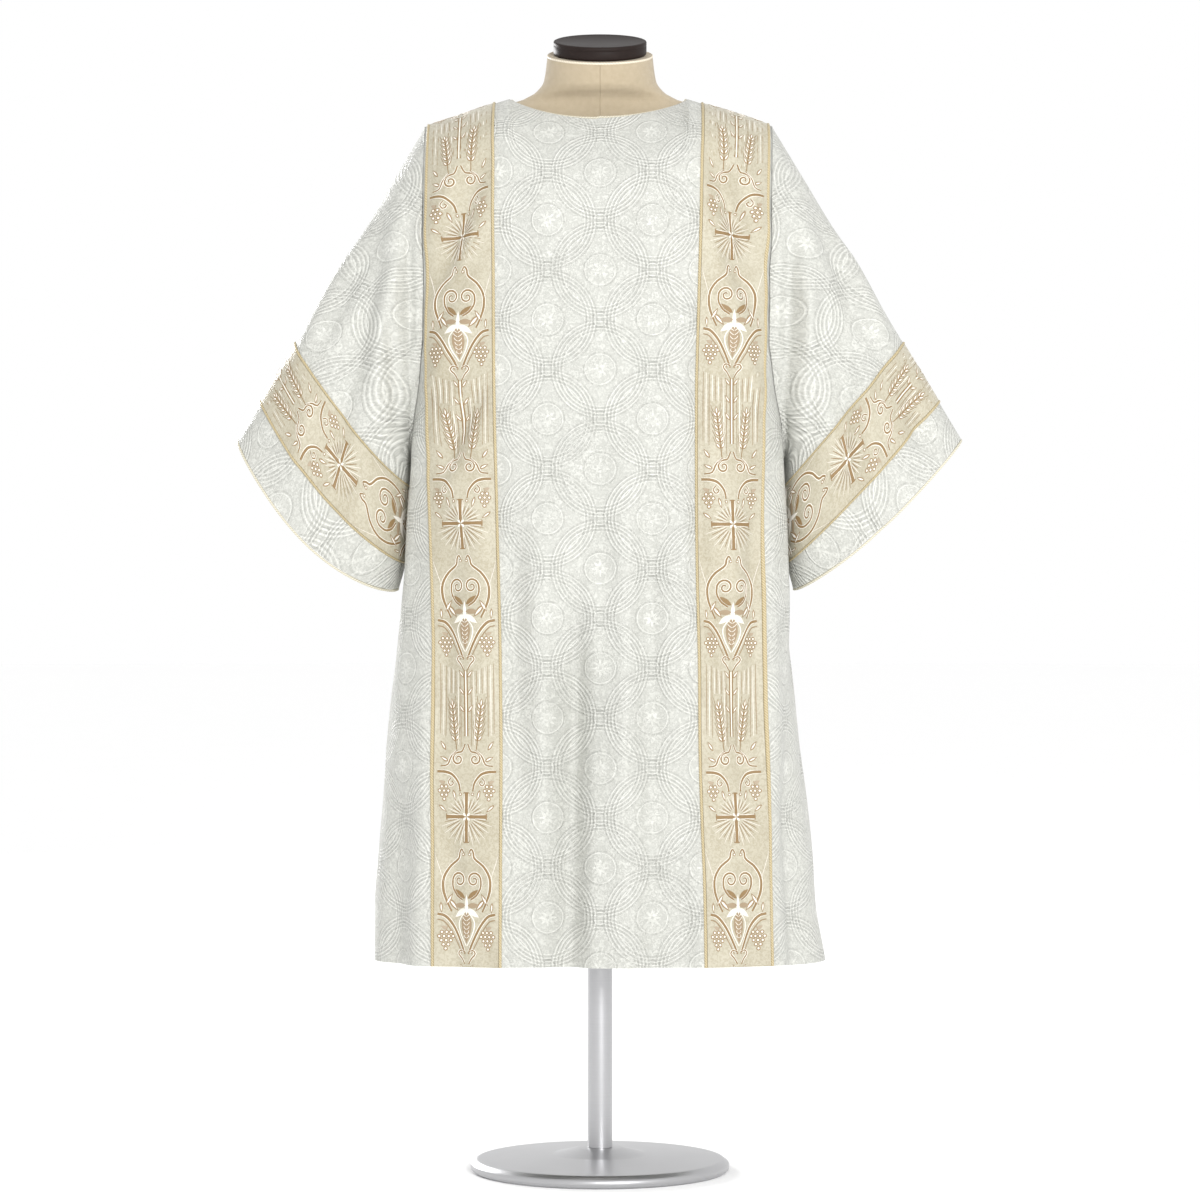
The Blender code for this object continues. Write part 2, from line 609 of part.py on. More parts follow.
def make_neck_binding(front_cloth, back_cloth):
    """The narrow binding round the neck, over both shoulder seams."""
    rings = []
    for across, _, points, normals in (front_cloth, back_cloth):
        inside = np.abs(across) < NECK_SHARE + TOLERANCE
        rings.append((points[-1, inside], normals[-1, inside]))
    points = np.concatenate((rings[0][0], rings[1][0][1:-1]))
    normals = np.concatenate((rings[0][1], rings[1][1][1:-1]))
    for shared in (0, len(rings[0][0]) - 1):
        points[shared, 1] = 0
    along = np.roll(points, -1, axis=0) - np.roll(points, 1, axis=0)
    up = unit(np.cross(normals, along))
    add_strip("neck_binding", edge_sections(points, normals, up), True, "gold_piping")


def superellipse(sides, half_width, half_depth, squareness):
    """Points round a superellipse, from +X towards +Y."""
    turn = np.arange(sides) * 2 * math.pi / sides
    cosine = np.cos(turn)
    sine = np.sin(turn)
    power = 2 / squareness
    x = half_width * np.sign(cosine) * np.abs(cosine) ** power
    y = half_depth * np.sign(sine) * np.abs(sine) ** power
    return x, y


def add_loft(name, rings, finish_name):
    """A solid through rings of points, from the lowest up, closed with a flat face at each end."""
    count = rings.shape[1]
    faces = []
    for i in range(len(rings) - 1):
        for j in range(count):
            a = i * count + j
            b = i * count + (j + 1) % count
            faces += [(a, b, b + count), (a, b + count, a + count)]
    top = (len(rings) - 1) * count
    faces.append(tuple(range(count - 1, -1, -1)))
    faces.append(tuple(range(top, top + count)))
    return add_object(name, rings, faces, finish_name)


def make_form():
    """The form's body and neck, in one piece, with a sloping top."""
    rings = []
    for height, half_width, half_depth, squareness, tilt in FORM_ROWS:
        x, y = superellipse(FORM_SIDES, half_width, half_depth, squareness)
        rings.append(np.stack((x, y, height + tilt * y), axis=-1))
    add_loft("form_torso", np.array(rings), "linen")


def make_cap():
    """The cap on the neck's sloping top: a disc with a rounded edge."""
    slope = FORM["tilt"][-1]
    base = FORM["height"][-1] + SEAM_GAP
    rings = []
    for radius, height in (
        (CAP_RADIUS - CAP_EDGE, 0.0),
        (CAP_RADIUS, CAP_EDGE),
        (CAP_RADIUS, CAP_HEIGHT - CAP_EDGE),
        (CAP_RADIUS - CAP_EDGE, CAP_HEIGHT),
    ):
        x, y = superellipse(CAP_SIDES, radius, radius * CAP_DEPTH, 2.0)
        y = y - slope * height
        rings.append(np.stack((x, y, base + height + slope * y), axis=-1))
    add_loft("form_cap", np.array(rings), "dark_cap")


def make_stand():
    """The pole under the form, and the round base that it stands on."""
    rings = []
    for radius, height in zip(BASE["radius"], BASE["height"]):
        x, y = superellipse(BASE_SIDES, radius, radius, 2.0)
        rings.append(np.stack((x, y, np.full_like(x, height)), axis=-1))
    add_loft("stand_base", np.array(rings), "stand_metal")
    rings = []
    for height in (BASE_TOP + SEAM_GAP, FORM["height"][0] - SEAM_GAP):
        x, y = superellipse(POLE_SIDES, POLE_RADIUS, POLE_RADIUS, 2.0)
        rings.append(np.stack((x, y, np.full_like(x, height)), axis=-1))
    add_loft("stand_pole", np.array(rings), "stand_metal")


def main():
    for old in list(bpy.data.objects):
        bpy.data.objects.remove(old, do_unlink=True)
    front = make_panel("front_panel", True)
    back = make_panel("back_panel", False)
    make_bands("front", front)
    make_bands("back", back)
    for side in ("right", "left"):
        make_sleeve(side, front, back)
    make_neck_binding(front, back)
    make_form()
    make_cap()
    make_stand()


main()
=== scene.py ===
"""Looks of a dalmatic on a limbless dress form, laid out as a Blender add-on.

The garment is ivory damask with four woven vertical bands, a woven band round each sleeve, and pale gold
piping, binding and edging. Every piece is a surface worked out from a few sizes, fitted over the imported
model's solids. Metres, +Z up, the front faces -Y and +X is the wearer's left.

How the cloth is worked out: a panel is a function of two numbers. ACROSS runs from -3, the right side
seam, over 0, the middle, to 3, the left side seam: 1 and 2 are the edges of a band. LEVEL runs from 0,
the hem, over 1, the underarm, and 2, the yoke, to 3, the shoulder seam or the neckline. A sleeve starts
from the panels' own armhole edges and is carried out to its cuff.
"""

import math
from types import SimpleNamespace

import bpy
import numpy as np
from bpy.props import FloatProperty, FloatVectorProperty, PointerProperty
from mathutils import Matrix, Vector


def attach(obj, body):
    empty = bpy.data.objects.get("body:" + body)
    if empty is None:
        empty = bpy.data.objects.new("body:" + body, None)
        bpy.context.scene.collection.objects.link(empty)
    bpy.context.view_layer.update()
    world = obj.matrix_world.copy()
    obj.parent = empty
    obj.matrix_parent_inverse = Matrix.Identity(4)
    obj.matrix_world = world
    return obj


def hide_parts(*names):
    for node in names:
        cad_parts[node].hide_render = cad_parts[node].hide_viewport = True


bl_info = {
    "name": "Dalmatic on a Dress Form",
    "version": (1, 0, 0),
    "blender": (4, 5, 0),
    "location": "3D View > Sidebar > Dalmatic",
    "description": "Builds the cloth, bands, trims, dress form and studio of a damask dalmatic",
    "category": "Add Mesh",
}

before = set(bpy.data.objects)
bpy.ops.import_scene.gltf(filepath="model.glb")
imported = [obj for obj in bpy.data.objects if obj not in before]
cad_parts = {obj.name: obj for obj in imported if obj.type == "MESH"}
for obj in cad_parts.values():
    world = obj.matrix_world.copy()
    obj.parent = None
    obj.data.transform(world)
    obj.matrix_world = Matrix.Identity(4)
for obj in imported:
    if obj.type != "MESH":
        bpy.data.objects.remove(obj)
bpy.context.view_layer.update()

FACES = ("front", "back")
SIDES = ("right", "left")

# Cloth
WALL = 0.002
SEAM_GAP = 0.0003
ARMHOLE_GAP = 0.0005
TRIM_GAP = 0.0003
PIPING_GAP = 0.0005
BAND_WALL = 0.0010
PIPING_WIDTH = 0.004
PIPING_HEIGHT = 0.0018
PIPING_CLEARANCE = 0.08
BINDING_WIDTH = 0.003
BINDING_GAP = 0.0006
BINDING_PROUD = 0.0004
DIFFERENCE = 0.001
TOLERANCE = 0.001

# Heights on the garment
HEM = 0.277
UNDERARM = 0.915
YOKE = 1.15
NECK_POINT = 1.391

# Shoulders and neckline
NECK_HALF = 0.115
NECK_SHARE = 0.87
SHOULDER_SLOPE = 0.314
SHOULDER_ROUND = 0.100
NECK_FRONT_DEPTH = 0.078
NECK_BACK_DEPTH = 0.075
NECK_FRONT_DROP = 0.033
NECK_BACK_DROP = 0.006
NECK_EASE = 1.6

# Body sections: a superellipse at each height. BAND is where a band starts, from the middle.
SQUARENESS = 2.8
BAND_WIDTH = 0.090
ARMHOLE_MARGIN = 0.003
ARMHOLE_CURVE = 0.155
ARMHOLE_BEND = 0.7
BODY_COLUMNS = ("height", "width_right", "width_left", "front", "back", "band_right", "band_left")
BODY_ROWS = (
    (0.277, 0.2925, 0.2915, 0.155, 0.150, 0.1236, 0.1310),
    (0.351, 0.2925, 0.2800, 0.152, 0.145, 0.1236, 0.1300),
    (0.403, 0.2886, 0.2770, 0.150, 0.140, 0.1237, 0.1290),
    (0.481, 0.2821, 0.2691, 0.149, 0.135, 0.1238, 0.1265),
    (0.559, 0.2756, 0.2587, 0.148, 0.131, 0.1240, 0.1245),
    (0.663, 0.2655, 0.2496, 0.147, 0.130, 0.1250, 0.1235),
    (0.768, 0.2530, 0.2430, 0.145, 0.128, 0.1275, 0.1225),
    (0.848, 0.2480, 0.2400, 0.143, 0.127, 0.1295, 0.1220),
    (0.915, 0.2420, 0.2365, 0.142, 0.127, 0.1310, 0.1217),
    (1.000, 0.2400, 0.2350, 0.140, 0.127, 0.1320, 0.1215),
    (1.100, 0.2425, 0.2380, 0.138, 0.128, 0.1330, 0.1230),
    (1.250, 0.2440, 0.2395, 0.131, 0.124, 0.1340, 0.1265),
    (1.400, 0.2440, 0.2395, 0.125, 0.115, 0.1345, 0.1310),
)

# The soft pleat that stands forward of the side seam, under the sleeve
PLEAT_FOOT = 0.60
PLEAT_LOW = 0.76
PLEAT_HIGH = 0.93
PLEAT_TOP = 1.02
PLEAT_TURN = 1.30
PLEAT_SPREAD = 0.16
PLEAT_OUT = 0.010
HOLLOW_IN = 0.006
HOLLOW_SPREAD = 0.35

# The sides are open at the hem
SLIT_TOP = 0.45
SLIT_OPEN = 0.012
SLIT_CURVE = 1.5

# Folds in front view: each is a soft ridge (+) or trough (-) along a line from its top to its foot.
# OPEN is 1 where the fold runs out at the hem.
FOLD_COLUMNS = ("top_x", "top_z", "foot_x", "foot_z", "width", "depth", "open")
FRONT_FOLDS = (
    (-0.025, 0.760, -0.046, 0.277, 0.028, -0.030, 1),
    (0.030, 0.700, 0.038, 0.277, 0.034, 0.009, 1),
    (-0.088, 0.720, -0.098, 0.277, 0.022, -0.008, 1),
    (0.095, 0.620, 0.104, 0.277, 0.024, -0.007, 1),
    (-0.150, 1.335, -0.216, 1.100, 0.020, -0.010, 0),
    (-0.135, 1.270, -0.222, 1.020, 0.018, 0.008, 0),
    (0.140, 1.335, 0.206, 1.120, 0.020, -0.010, 0),
    (0.125, 1.270, 0.200, 1.030, 0.018, 0.006, 0),
    (-0.140, 1.020, -0.222, 0.890, 0.018, -0.006, 0),
    (-0.130, 0.780, -0.215, 0.930, 0.018, 0.005, 0),
    (0.196, 0.960, 0.204, 0.440, 0.020, -0.012, 0),
    (0.168, 0.900, 0.172, 0.500, 0.020, 0.005, 0),
    (0.245, 0.560, 0.262, 0.277, 0.018, -0.012, 1),
    (-0.245, 0.520, -0.262, 0.277, 0.020, -0.007, 1),
)
BACK_FOLDS = (
    (0.060, 0.760, 0.072, 0.277, 0.034, -0.020, 1),
    (-0.020, 0.800, -0.028, 0.277, 0.036, 0.010, 1),
    (-0.085, 0.800, -0.098, 0.277, 0.030, -0.016, 1),
    (0.150, 1.300, 0.205, 1.060, 0.020, -0.009, 0),
    (-0.145, 1.310, -0.200, 1.080, 0.020, -0.008, 0),
    (0.180, 0.820, 0.196, 0.277, 0.026, -0.010, 1),
    (-0.190, 0.700, -0.205, 0.277, 0.026, -0.009, 1),
)
FOLD_FADE = 0.35
SEAM_FADE = 0.030

# Sleeves: the upper edge is a line from the shoulder to the cuff, and each row is a ring, REACH of the
# way out. GAP is how far its lower edge lies from the body's side, SAG how far it hangs below its chord.
SLEEVE_TOP_X = 0.2315
SLEEVE_TOP_Z = 1.341
SLEEVE_OUT = 0.2370
SLEEVE_DROP = 0.390
SLEEVE_FLATTEN = 0.8
SLEEVE_BLEND = 0.6
SLEEVE_FOLD_START = 0.1
SAG_LEAN = 1.3
SAG_FULLNESS = 0.6
SLEEVE_COLUMNS = ("reach", "gap", "low_z", "depth", "sag_right", "sag_left")
SLEEVE_ROWS = (
    (0.000, 0.0000, 0.915, 0.072, 0.000, 0.000),
    (0.040, 0.0060, 0.921, 0.074, 0.000, 0.000),
    (0.120, 0.0080, 0.921, 0.076, 0.001, 0.000),
    (0.400, 0.0080, 0.917, 0.078, 0.006, 0.000),
    (0.600, 0.0070, 0.907, 0.077, 0.010, 0.000),
    (0.688, 0.0065, 0.886, 0.075, 0.012, 0.001),
    (0.873, 0.0075, 0.792, 0.070, 0.020, 0.005),
    (1.000, 0.0130, 0.757, 0.064, 0.037, 0.016),
)
SLEEVE_FOLDS_RIGHT = (
    (-0.269, 1.250, -0.325, 0.990, 0.018, -0.012, 0),
    (-0.262, 1.230, -0.288, 0.900, 0.022, 0.008, 0),
    (-0.243, 1.280, -0.243, 0.980, 0.012, -0.010, 0),
    (-0.345, 1.120, -0.420, 0.860, 0.024, 0.005, 0),
)
SLEEVE_FOLDS_LEFT = (
    (0.247, 1.270, 0.238, 0.960, 0.012, -0.010, 0),
    (0.273, 1.230, 0.262, 0.900, 0.022, 0.008, 0),
    (0.318, 1.170, 0.312, 0.930, 0.018, -0.007, 0),
    (0.373, 1.080, 0.425, 0.890, 0.020, -0.007, 0),
)
BAND_UPPER = 0.688
BAND_LOWER = 0.873
PIPING_REACH = 0.0087

# Smaller folds and creases, in the same columns
FRONT_CREASES = (
    (-0.128, 1.335, -0.212, 1.140, 0.015, -0.0060, 0),
    (-0.168, 1.330, -0.226, 1.170, 0.013, 0.0040, 0),
    (-0.140, 1.215, -0.220, 1.060, 0.012, -0.0070, 0),
    (-0.150, 1.130, -0.226, 0.990, 0.012, 0.0055, 0),
    (-0.145, 1.030, -0.215, 0.860, 0.012, -0.0060, 0),
    (0.130, 1.335, 0.208, 1.150, 0.015, -0.0065, 0),
    (0.166, 1.325, 0.222, 1.160, 0.013, 0.0045, 0),
    (0.135, 1.230, 0.210, 1.080, 0.012, -0.0070, 0),
    (0.150, 1.120, 0.218, 0.970, 0.012, 0.0050, 0),
    (0.126, 1.180, 0.126, 0.640, 0.014, -0.0090, 0),
    (-0.132, 1.000, -0.132, 0.600, 0.012, -0.0045, 0),
    (-0.060, 1.330, -0.078, 1.120, 0.022, 0.0045, 0),
    (0.055, 1.330, 0.068, 1.110, 0.022, 0.0045, 0),
    (0.000, 1.000, -0.014, 0.700, 0.024, -0.0080, 0),
    (0.062, 0.960, 0.066, 0.277, 0.019, -0.0120, 1),
    (0.034, 0.940, 0.030, 0.420, 0.015, 0.0060, 0),
    (-0.108, 0.900, -0.112, 0.380, 0.017, -0.0110, 0),
    (-0.082, 0.880, -0.070, 0.400, 0.014, 0.0060, 0),
    (-0.185, 0.860, -0.205, 0.500, 0.018, -0.0085, 0),
    (-0.215, 0.700, -0.232, 0.277, 0.014, 0.0070, 1),
    (-0.262, 0.560, -0.270, 0.277, 0.014, -0.0080, 1),
    (-0.190, 0.480, -0.182, 0.277, 0.016, -0.0080, 1),
    (-0.145, 0.430, -0.120, 0.277, 0.014, 0.0060, 1),
    (0.135, 0.820, 0.200, 0.430, 0.019, -0.0120, 0),
    (0.215, 0.900, 0.222, 0.400, 0.014, 0.0080, 0),
    (0.240, 0.760, 0.252, 0.277, 0.014, -0.0080, 1),
    (0.180, 0.430, 0.196, 0.277, 0.014, -0.0070, 1),
    (0.115, 0.440, 0.130, 0.277, 0.014, 0.0060, 1),
    (-0.010, 0.900, -0.013, 0.277, 0.012, 0.0055, 1),
    (-0.028, 0.840, -0.034, 0.277, 0.012, -0.0050, 1),
)
BACK_CREASES = (
    (-0.060, 1.330, -0.070, 1.120, 0.020, 0.0050, 0),
    (0.070, 1.320, 0.084, 1.100, 0.018, -0.0050, 0),
    (0.150, 1.190, 0.215, 1.010, 0.012, 0.0055, 0),
    (-0.140, 1.220, -0.210, 1.050, 0.012, -0.0060, 0),
    (0.010, 1.000, 0.022, 0.640, 0.022, -0.0080, 0),
    (-0.045, 0.980, -0.050, 0.500, 0.018, 0.0060, 0),
    (-0.170, 0.900, -0.190, 0.560, 0.014, 0.0055, 0),
    (0.110, 0.640, 0.122, 0.277, 0.015, 0.0065, 1),
    (-0.140, 0.520, -0.150, 0.277, 0.015, 0.0065, 1),
    (0.220, 0.700, 0.236, 0.277, 0.015, -0.0075, 1),
    (-0.230, 0.740, -0.246, 0.277, 0.015, -0.0070, 1),
)
SLEEVE_CREASES_RIGHT = (
    (-0.262, 1.280, -0.372, 1.040, 0.014, -0.0085, 0),
    (-0.290, 1.270, -0.405, 1.000, 0.013, 0.0070, 0),
    (-0.262, 1.200, -0.300, 0.960, 0.013, 0.0080, 0),
    (-0.275, 1.160, -0.258, 0.930, 0.010, -0.0060, 0),
    (-0.315, 1.060, -0.345, 0.860, 0.013, -0.0065, 0),
    (-0.360, 1.010, -0.400, 0.880, 0.012, 0.0055, 0),
    (-0.300, 0.900, -0.375, 0.800, 0.012, -0.0060, 0),
)
SLEEVE_CREASES_LEFT = (
    (0.262, 1.280, 0.368, 1.030, 0.014, -0.0085, 0),
    (0.290, 1.265, 0.400, 1.000, 0.013, 0.0070, 0),
    (0.258, 1.190, 0.286, 0.960, 0.013, 0.0080, 0),
    (0.285, 1.150, 0.270, 0.930, 0.010, -0.0060, 0),
    (0.335, 1.070, 0.352, 0.870, 0.013, 0.0055, 0),
    (0.310, 1.020, 0.320, 0.860, 0.012, -0.0060, 0),
    (0.390, 0.990, 0.440, 0.920, 0.012, -0.0070, 0),
    (0.300, 0.880, 0.380, 0.810, 0.012, -0.0055, 0),
)

# A very soft unevenness of hanging cloth: wave numbers along X and Z, a phase and a height
RIPPLES = (
    (38.0, 9.0, 0.4, 0.0007),
    (-24.0, 21.0, 1.9, 0.0006),
    (57.0, -13.0, 3.1, 0.0004),
)

# Dress form: rings from the hips up. TILT raises a ring's back and drops its front.
FORM_COLUMNS = ("height", "half_width", "half_depth", "squareness", "tilt")
FORM_ROWS = (
    (0.700, 0.140, 0.090, 2.3, 0.0),
    (0.712, 0.152, 0.100, 2.3, 0.0),
    (0.760, 0.158, 0.104, 2.3, 0.0),
    (0.880, 0.150, 0.098, 2.3, 0.0),
    (0.990, 0.144, 0.094, 2.3, 0.0),
    (1.100, 0.154, 0.102, 2.3, 0.0),
    (1.200, 0.166, 0.104, 2.3, 0.0),
    (1.270, 0.182, 0.104, 2.2, 0.0),
    (1.315, 0.198, 0.088, 2.0, 0.0),
    (1.3430, 0.2055, 0.064, 1.7, 0.0),
    (1.3596, 0.2045, 0.050, 1.45, 0.0),
    (1.3732, 0.1600, 0.047, 1.35, 0.0),
    (1.3872, 0.1150, 0.046, 1.35, 0.0),
    (1.3925, 0.0980, 0.050, 1.5, 0.0),
    (1.4000, 0.0840, 0.056, 1.75, 0.05),
    (1.4150, 0.0730, 0.061, 2.0, 0.15),
    (1.4495, 0.0680, 0.062, 2.0, 0.30),
)
CAP_DEPTH = 0.95
POLE_RADIUS = 0.016
BASE_TOP = 0.030
BASE_COLUMNS = ("radius", "height")
BASE_ROWS = (
    (0.164, 0.000),
    (0.168, 0.004),
    (0.168, 0.010),
    (0.160, 0.016),
    (0.060, 0.022),
    (0.028, BASE_TOP),
)


def columns(names, rows):
    """A table as one array for each named column."""
    return dict(zip(names, np.array(rows, dtype=float).T))


BODY = columns(BODY_COLUMNS, BODY_ROWS)
SLEEVE = columns(SLEEVE_COLUMNS, SLEEVE_ROWS)
FORM = columns(FORM_COLUMNS, FORM_ROWS)
BASE = columns(BASE_COLUMNS, BASE_ROWS)


def through(place, places, values):
    """A smooth curve through a table's rows that never swings past them (a monotone cubic)."""
    place = np.clip(place, places[0], places[-1])
    widths = np.diff(places)
    slopes = np.diff(values) / widths
    tangents = np.zeros(len(places))
    rising = slopes[:-1] * slopes[1:] > 0
    pairs = slopes[:-1] + slopes[1:]
    tangents[1:-1] = np.where(rising, 2 * slopes[:-1] * slopes[1:] / np.where(rising, pairs, 1), 0)
    tangents[0] = slopes[0]
    tangents[-1] = slopes[-1]
    row = np.clip(np.searchsorted(places, place, side="right") - 1, 0, len(widths) - 1)
    t = (place - places[row]) / widths[row]
    start = (1 + 2 * t) * (1 - t) ** 2 * values[row] + t**2 * (3 - 2 * t) * values[row + 1]
    swing = t * (1 - t) ** 2 * tangents[row] - t**2 * (1 - t) * tangents[row + 1]
    return start + widths[row] * swing


def ease(value):
    """0 below 0, 1 above 1, and a smooth step between."""
    value = np.clip(value, 0, 1)
    return value * value * (3 - 2 * value)


def unit(vectors):
    """Vectors of length 1 in the same directions."""
    return vectors / np.maximum(np.linalg.norm(vectors, axis=-1, keepdims=True), 1e-12)


def folds(x, z, rows):
    """How far the folds of a table move a point out: each a bell across its line, fading at its ends."""
    moved = np.zeros(np.broadcast(x, z).shape)
    for row in rows:
        fold = dict(zip(FOLD_COLUMNS, row))
        line = np.array((fold["foot_x"] - fold["top_x"], fold["foot_z"] - fold["top_z"]))
        length = np.hypot(*line)
        line = line / length
        from_x = x - fold["top_x"]
        from_z = z - fold["top_z"]
        along = (from_x * line[0] + from_z * line[1]) / length
        beside = from_x * line[1] - from_z * line[0]
        fade = ease(along / FOLD_FADE) * np.maximum(ease((1 - along) / FOLD_FADE), fold["open"])
        moved = moved + fold["depth"] * np.exp(-((beside / fold["width"]) ** 2)) * fade
    return moved


def ripples(x, z):
    """The sum of a few long, low waves in X and Z."""
    moved = np.zeros(np.broadcast(x, z).shape)
    for wave_x, wave_z, phase, height in RIPPLES:
        moved = moved + height * np.sin(wave_x * x + wave_z * z + phase)
    return moved


def heights(across, level, front):
    """A panel's height at a level, and the height of its top edge: straight shoulders, a dipping neck."""
    share = np.clip(np.abs(across) / NECK_SHARE, 0, 1)
    dip = np.sqrt(1 - share**2)
    band = np.where(across < 0, BODY["band_right"][-1], BODY["band_left"][-1])
    span = np.clip(np.abs(across), 0, 1) * band + np.clip(np.abs(across) - 1, 0, 1) * BAND_WIDTH
    span = span + np.clip(np.abs(across) - 2, 0, 1) * ARMHOLE_MARGIN
    ridge = NECK_POINT - SHOULDER_SLOPE * (np.maximum(span, NECK_SHARE * band) - NECK_HALF)
    top = ridge - dip**NECK_EASE * (NECK_FRONT_DROP if front else NECK_BACK_DROP)
    low = HEM + (UNDERARM - HEM) * np.clip(level, 0, 1)
    low = low + (YOKE - UNDERARM) * np.clip(level - 1, 0, 1)
    return low + (top - YOKE) * np.clip(level - 2, 0, 1), top, dip


def pleat_strength(z):
    """How much of the side pleat there is at a height: it fades in from its foot and out at its top."""
    rise = ease((z - PLEAT_FOOT) / (PLEAT_LOW - PLEAT_FOOT))
    return rise * ease((PLEAT_TOP - z) / (PLEAT_TOP - PLEAT_HIGH))


def smooth_panel(across, level, front):
    """The panel before its folds: superellipses at each height, rounded over to the shoulder seam."""
    across, level = np.broadcast_arrays(np.clip(across, -3.0, 3.0), np.clip(level, 0.0, 3.0))
    z, top, dip = heights(across, level, front)
    right = across < 0
    place = BODY["height"]
    width, band = (
        np.where(right, through(z, place, BODY[size + "_right"]), through(z, place, BODY[size + "_left"]))
        for size in ("width", "band")
    )
    deep = through(z, place, BODY["front"] if front else BODY["back"])
    part = np.abs(across)
    span = np.clip(part, 0, 1) * band + np.clip(part - 1, 0, 1) * BAND_WIDTH
    power = SQUARENESS / 2
    turn = np.arcsin((span / width) ** power)
    edge = np.arcsin(((span + ARMHOLE_MARGIN) / width) ** power)
    closing = 1 - np.clip((z - UNDERARM) / ARMHOLE_CURVE, 0, 1) ** ARMHOLE_BEND
    last = edge + (math.pi / 2 - edge) * closing
    side = np.clip(part - 2, 0, 1)
    turn = turn + (last - turn) * side
    x = width * np.sin(turn) ** (1 / power)
    y = deep * np.maximum(np.cos(turn), 0) ** (1 / power)
    pleat = pleat_strength(z)
    x = x + pleat * PLEAT_OUT * np.exp(-(((turn - PLEAT_TURN) / PLEAT_SPREAD) ** 2))
    x = x - pleat * HOLLOW_IN * np.exp(-(((math.pi / 2 - turn) / HOLLOW_SPREAD) ** 2))
    y_top = dip * (NECK_FRONT_DEPTH if front else NECK_BACK_DEPTH)
    fall = np.clip((top - z) / SHOULDER_ROUND, 0, 1)
    rounding = (1 - dip) * np.sqrt(1 - (1 - fall) ** 2) + dip * np.sin(fall * math.pi / 2)
    y = y_top + (y - y_top) * rounding
    opened = SLIT_OPEN * np.clip((SLIT_TOP - z) / (SLIT_TOP - HEM), 0, 1) ** SLIT_CURVE
    y = np.maximum(y + opened * side**2, SEAM_GAP / 2)
    return np.stack((np.where(right, -x, x), -y if front else y, z), axis=-1)


def outward(surface, first, second, front):
    """Unit normals of a surface of two numbers, from points a small step to each side."""
    aside = surface(first + DIFFERENCE, second, front) - surface(first - DIFFERENCE, second, front)
    climb = surface(first, second + DIFFERENCE, front) - surface(first, second - DIFFERENCE, front)
    normal = unit(np.cross(aside, climb))
    return normal if front else -normal


def panel(across, level, front):
    """A front or back panel's outer surface, with its folds."""
    across, level = np.broadcast_arrays(across, level)
    point = smooth_panel(across, level, front)
    x, z = point[..., 0], point[..., 2]
    moved = folds(x, z, FRONT_FOLDS if front else BACK_FOLDS) + ripples(x, z)
    moved = moved + folds(x, z, FRONT_CREASES if front else BACK_CREASES)
    moved = moved * ease(np.abs(point[..., 1]) / SEAM_FADE)
    return point + outward(smooth_panel, across, level, front) * moved[..., None]


def side_width(z, left):
    """How far out the side seam lies at a height."""
    width = through(z, BODY["height"], BODY["width_left" if left else "width_right"])
    return width - pleat_strength(z) * HOLLOW_IN


def sleeve_ring(reach, fall, left):
    """A smooth ring of a sleeve: FALL runs from 0 at its upper edge to 1 at its lower edge, in front."""
    top_x = SLEEVE_TOP_X + SLEEVE_OUT * reach
    top_z = SLEEVE_TOP_Z - SLEEVE_DROP * reach
    place = SLEEVE["reach"]
    low_z = through(reach, place, SLEEVE["low_z"])
    low_x = side_width(low_z, left) + through(reach, place, SLEEVE["gap"])
    chord_x = low_x - top_x
    chord_z = low_z - top_z
    length = np.hypot(chord_x, chord_z)
    sag = through(reach, place, SLEEVE["sag_left" if left else "sag_right"])
    sag = sag * np.maximum(np.sin(math.pi * fall**SAG_LEAN), 0) ** SAG_FULLNESS
    x = top_x + chord_x * fall - sag * chord_z / length
    z = top_z + chord_z * fall + sag * chord_x / length
    round_y = np.sqrt(np.clip(1 - (1 - 2 * fall) ** 2, 0, 1)) ** SLEEVE_FLATTEN
    y = through(reach, place, SLEEVE["depth"]) * round_y
    return np.stack((x if left else -x, -y, z), axis=-1)


def smooth_sleeve(reach, level, left, front):
    """A sleeve before its folds: the armhole's edge, blended out into the sleeve's own rings."""
    reach, level = np.broadcast_arrays(np.clip(reach, 0.0, 1.0), np.clip(level, 1.0, 3.0))
    edge = panel(3.0 if left else -3.0, level, front)
    edge[..., 1] = np.where((level <= 1.0) | (level >= 3.0), 0.0, edge[..., 1])
    tip = panel(3.0 if left else -3.0, np.array(3.0), front)[..., 2]
    fall = np.clip((tip - edge[..., 2]) / (tip - UNDERARM), 0, 1)
    turned = np.array((1.0, 1.0 if front else -1.0, 1.0))
    ring = sleeve_ring(reach, fall, left) * turned
    start = sleeve_ring(np.zeros_like(reach), fall, left) * turned
    fade = np.clip(1 - reach / SLEEVE_BLEND, 0, 1) ** 2
    return ring + (edge - start) * fade[..., None]


def sleeve(reach, level, left, front):
    """A sleeve's outer surface, with its folds. They fade out at the armhole and at both edges."""
    reach, level = np.broadcast_arrays(reach, level)
    point = smooth_sleeve(reach, level, left, front)
    farther = smooth_sleeve(reach + DIFFERENCE, level, left, front)
    nearer = smooth_sleeve(reach - DIFFERENCE, level, left, front)
    higher = smooth_sleeve(reach, level + DIFFERENCE, left, front)
    lower = smooth_sleeve(reach, level - DIFFERENCE, left, front)
    normal = unit(np.cross(farther - nearer, higher - lower)) * (1 if left == front else -1)
    x, z = point[..., 0], point[..., 2]
    moved = folds(x, z, SLEEVE_FOLDS_LEFT if left else SLEEVE_FOLDS_RIGHT) + ripples(x, z)
    moved = moved + folds(x, z, SLEEVE_CREASES_LEFT if left else SLEEVE_CREASES_RIGHT)
    moved = moved * ease(np.abs(point[..., 1]) / SEAM_FADE) * ease(reach / SLEEVE_FOLD_START)
    return point + normal * moved[..., None]


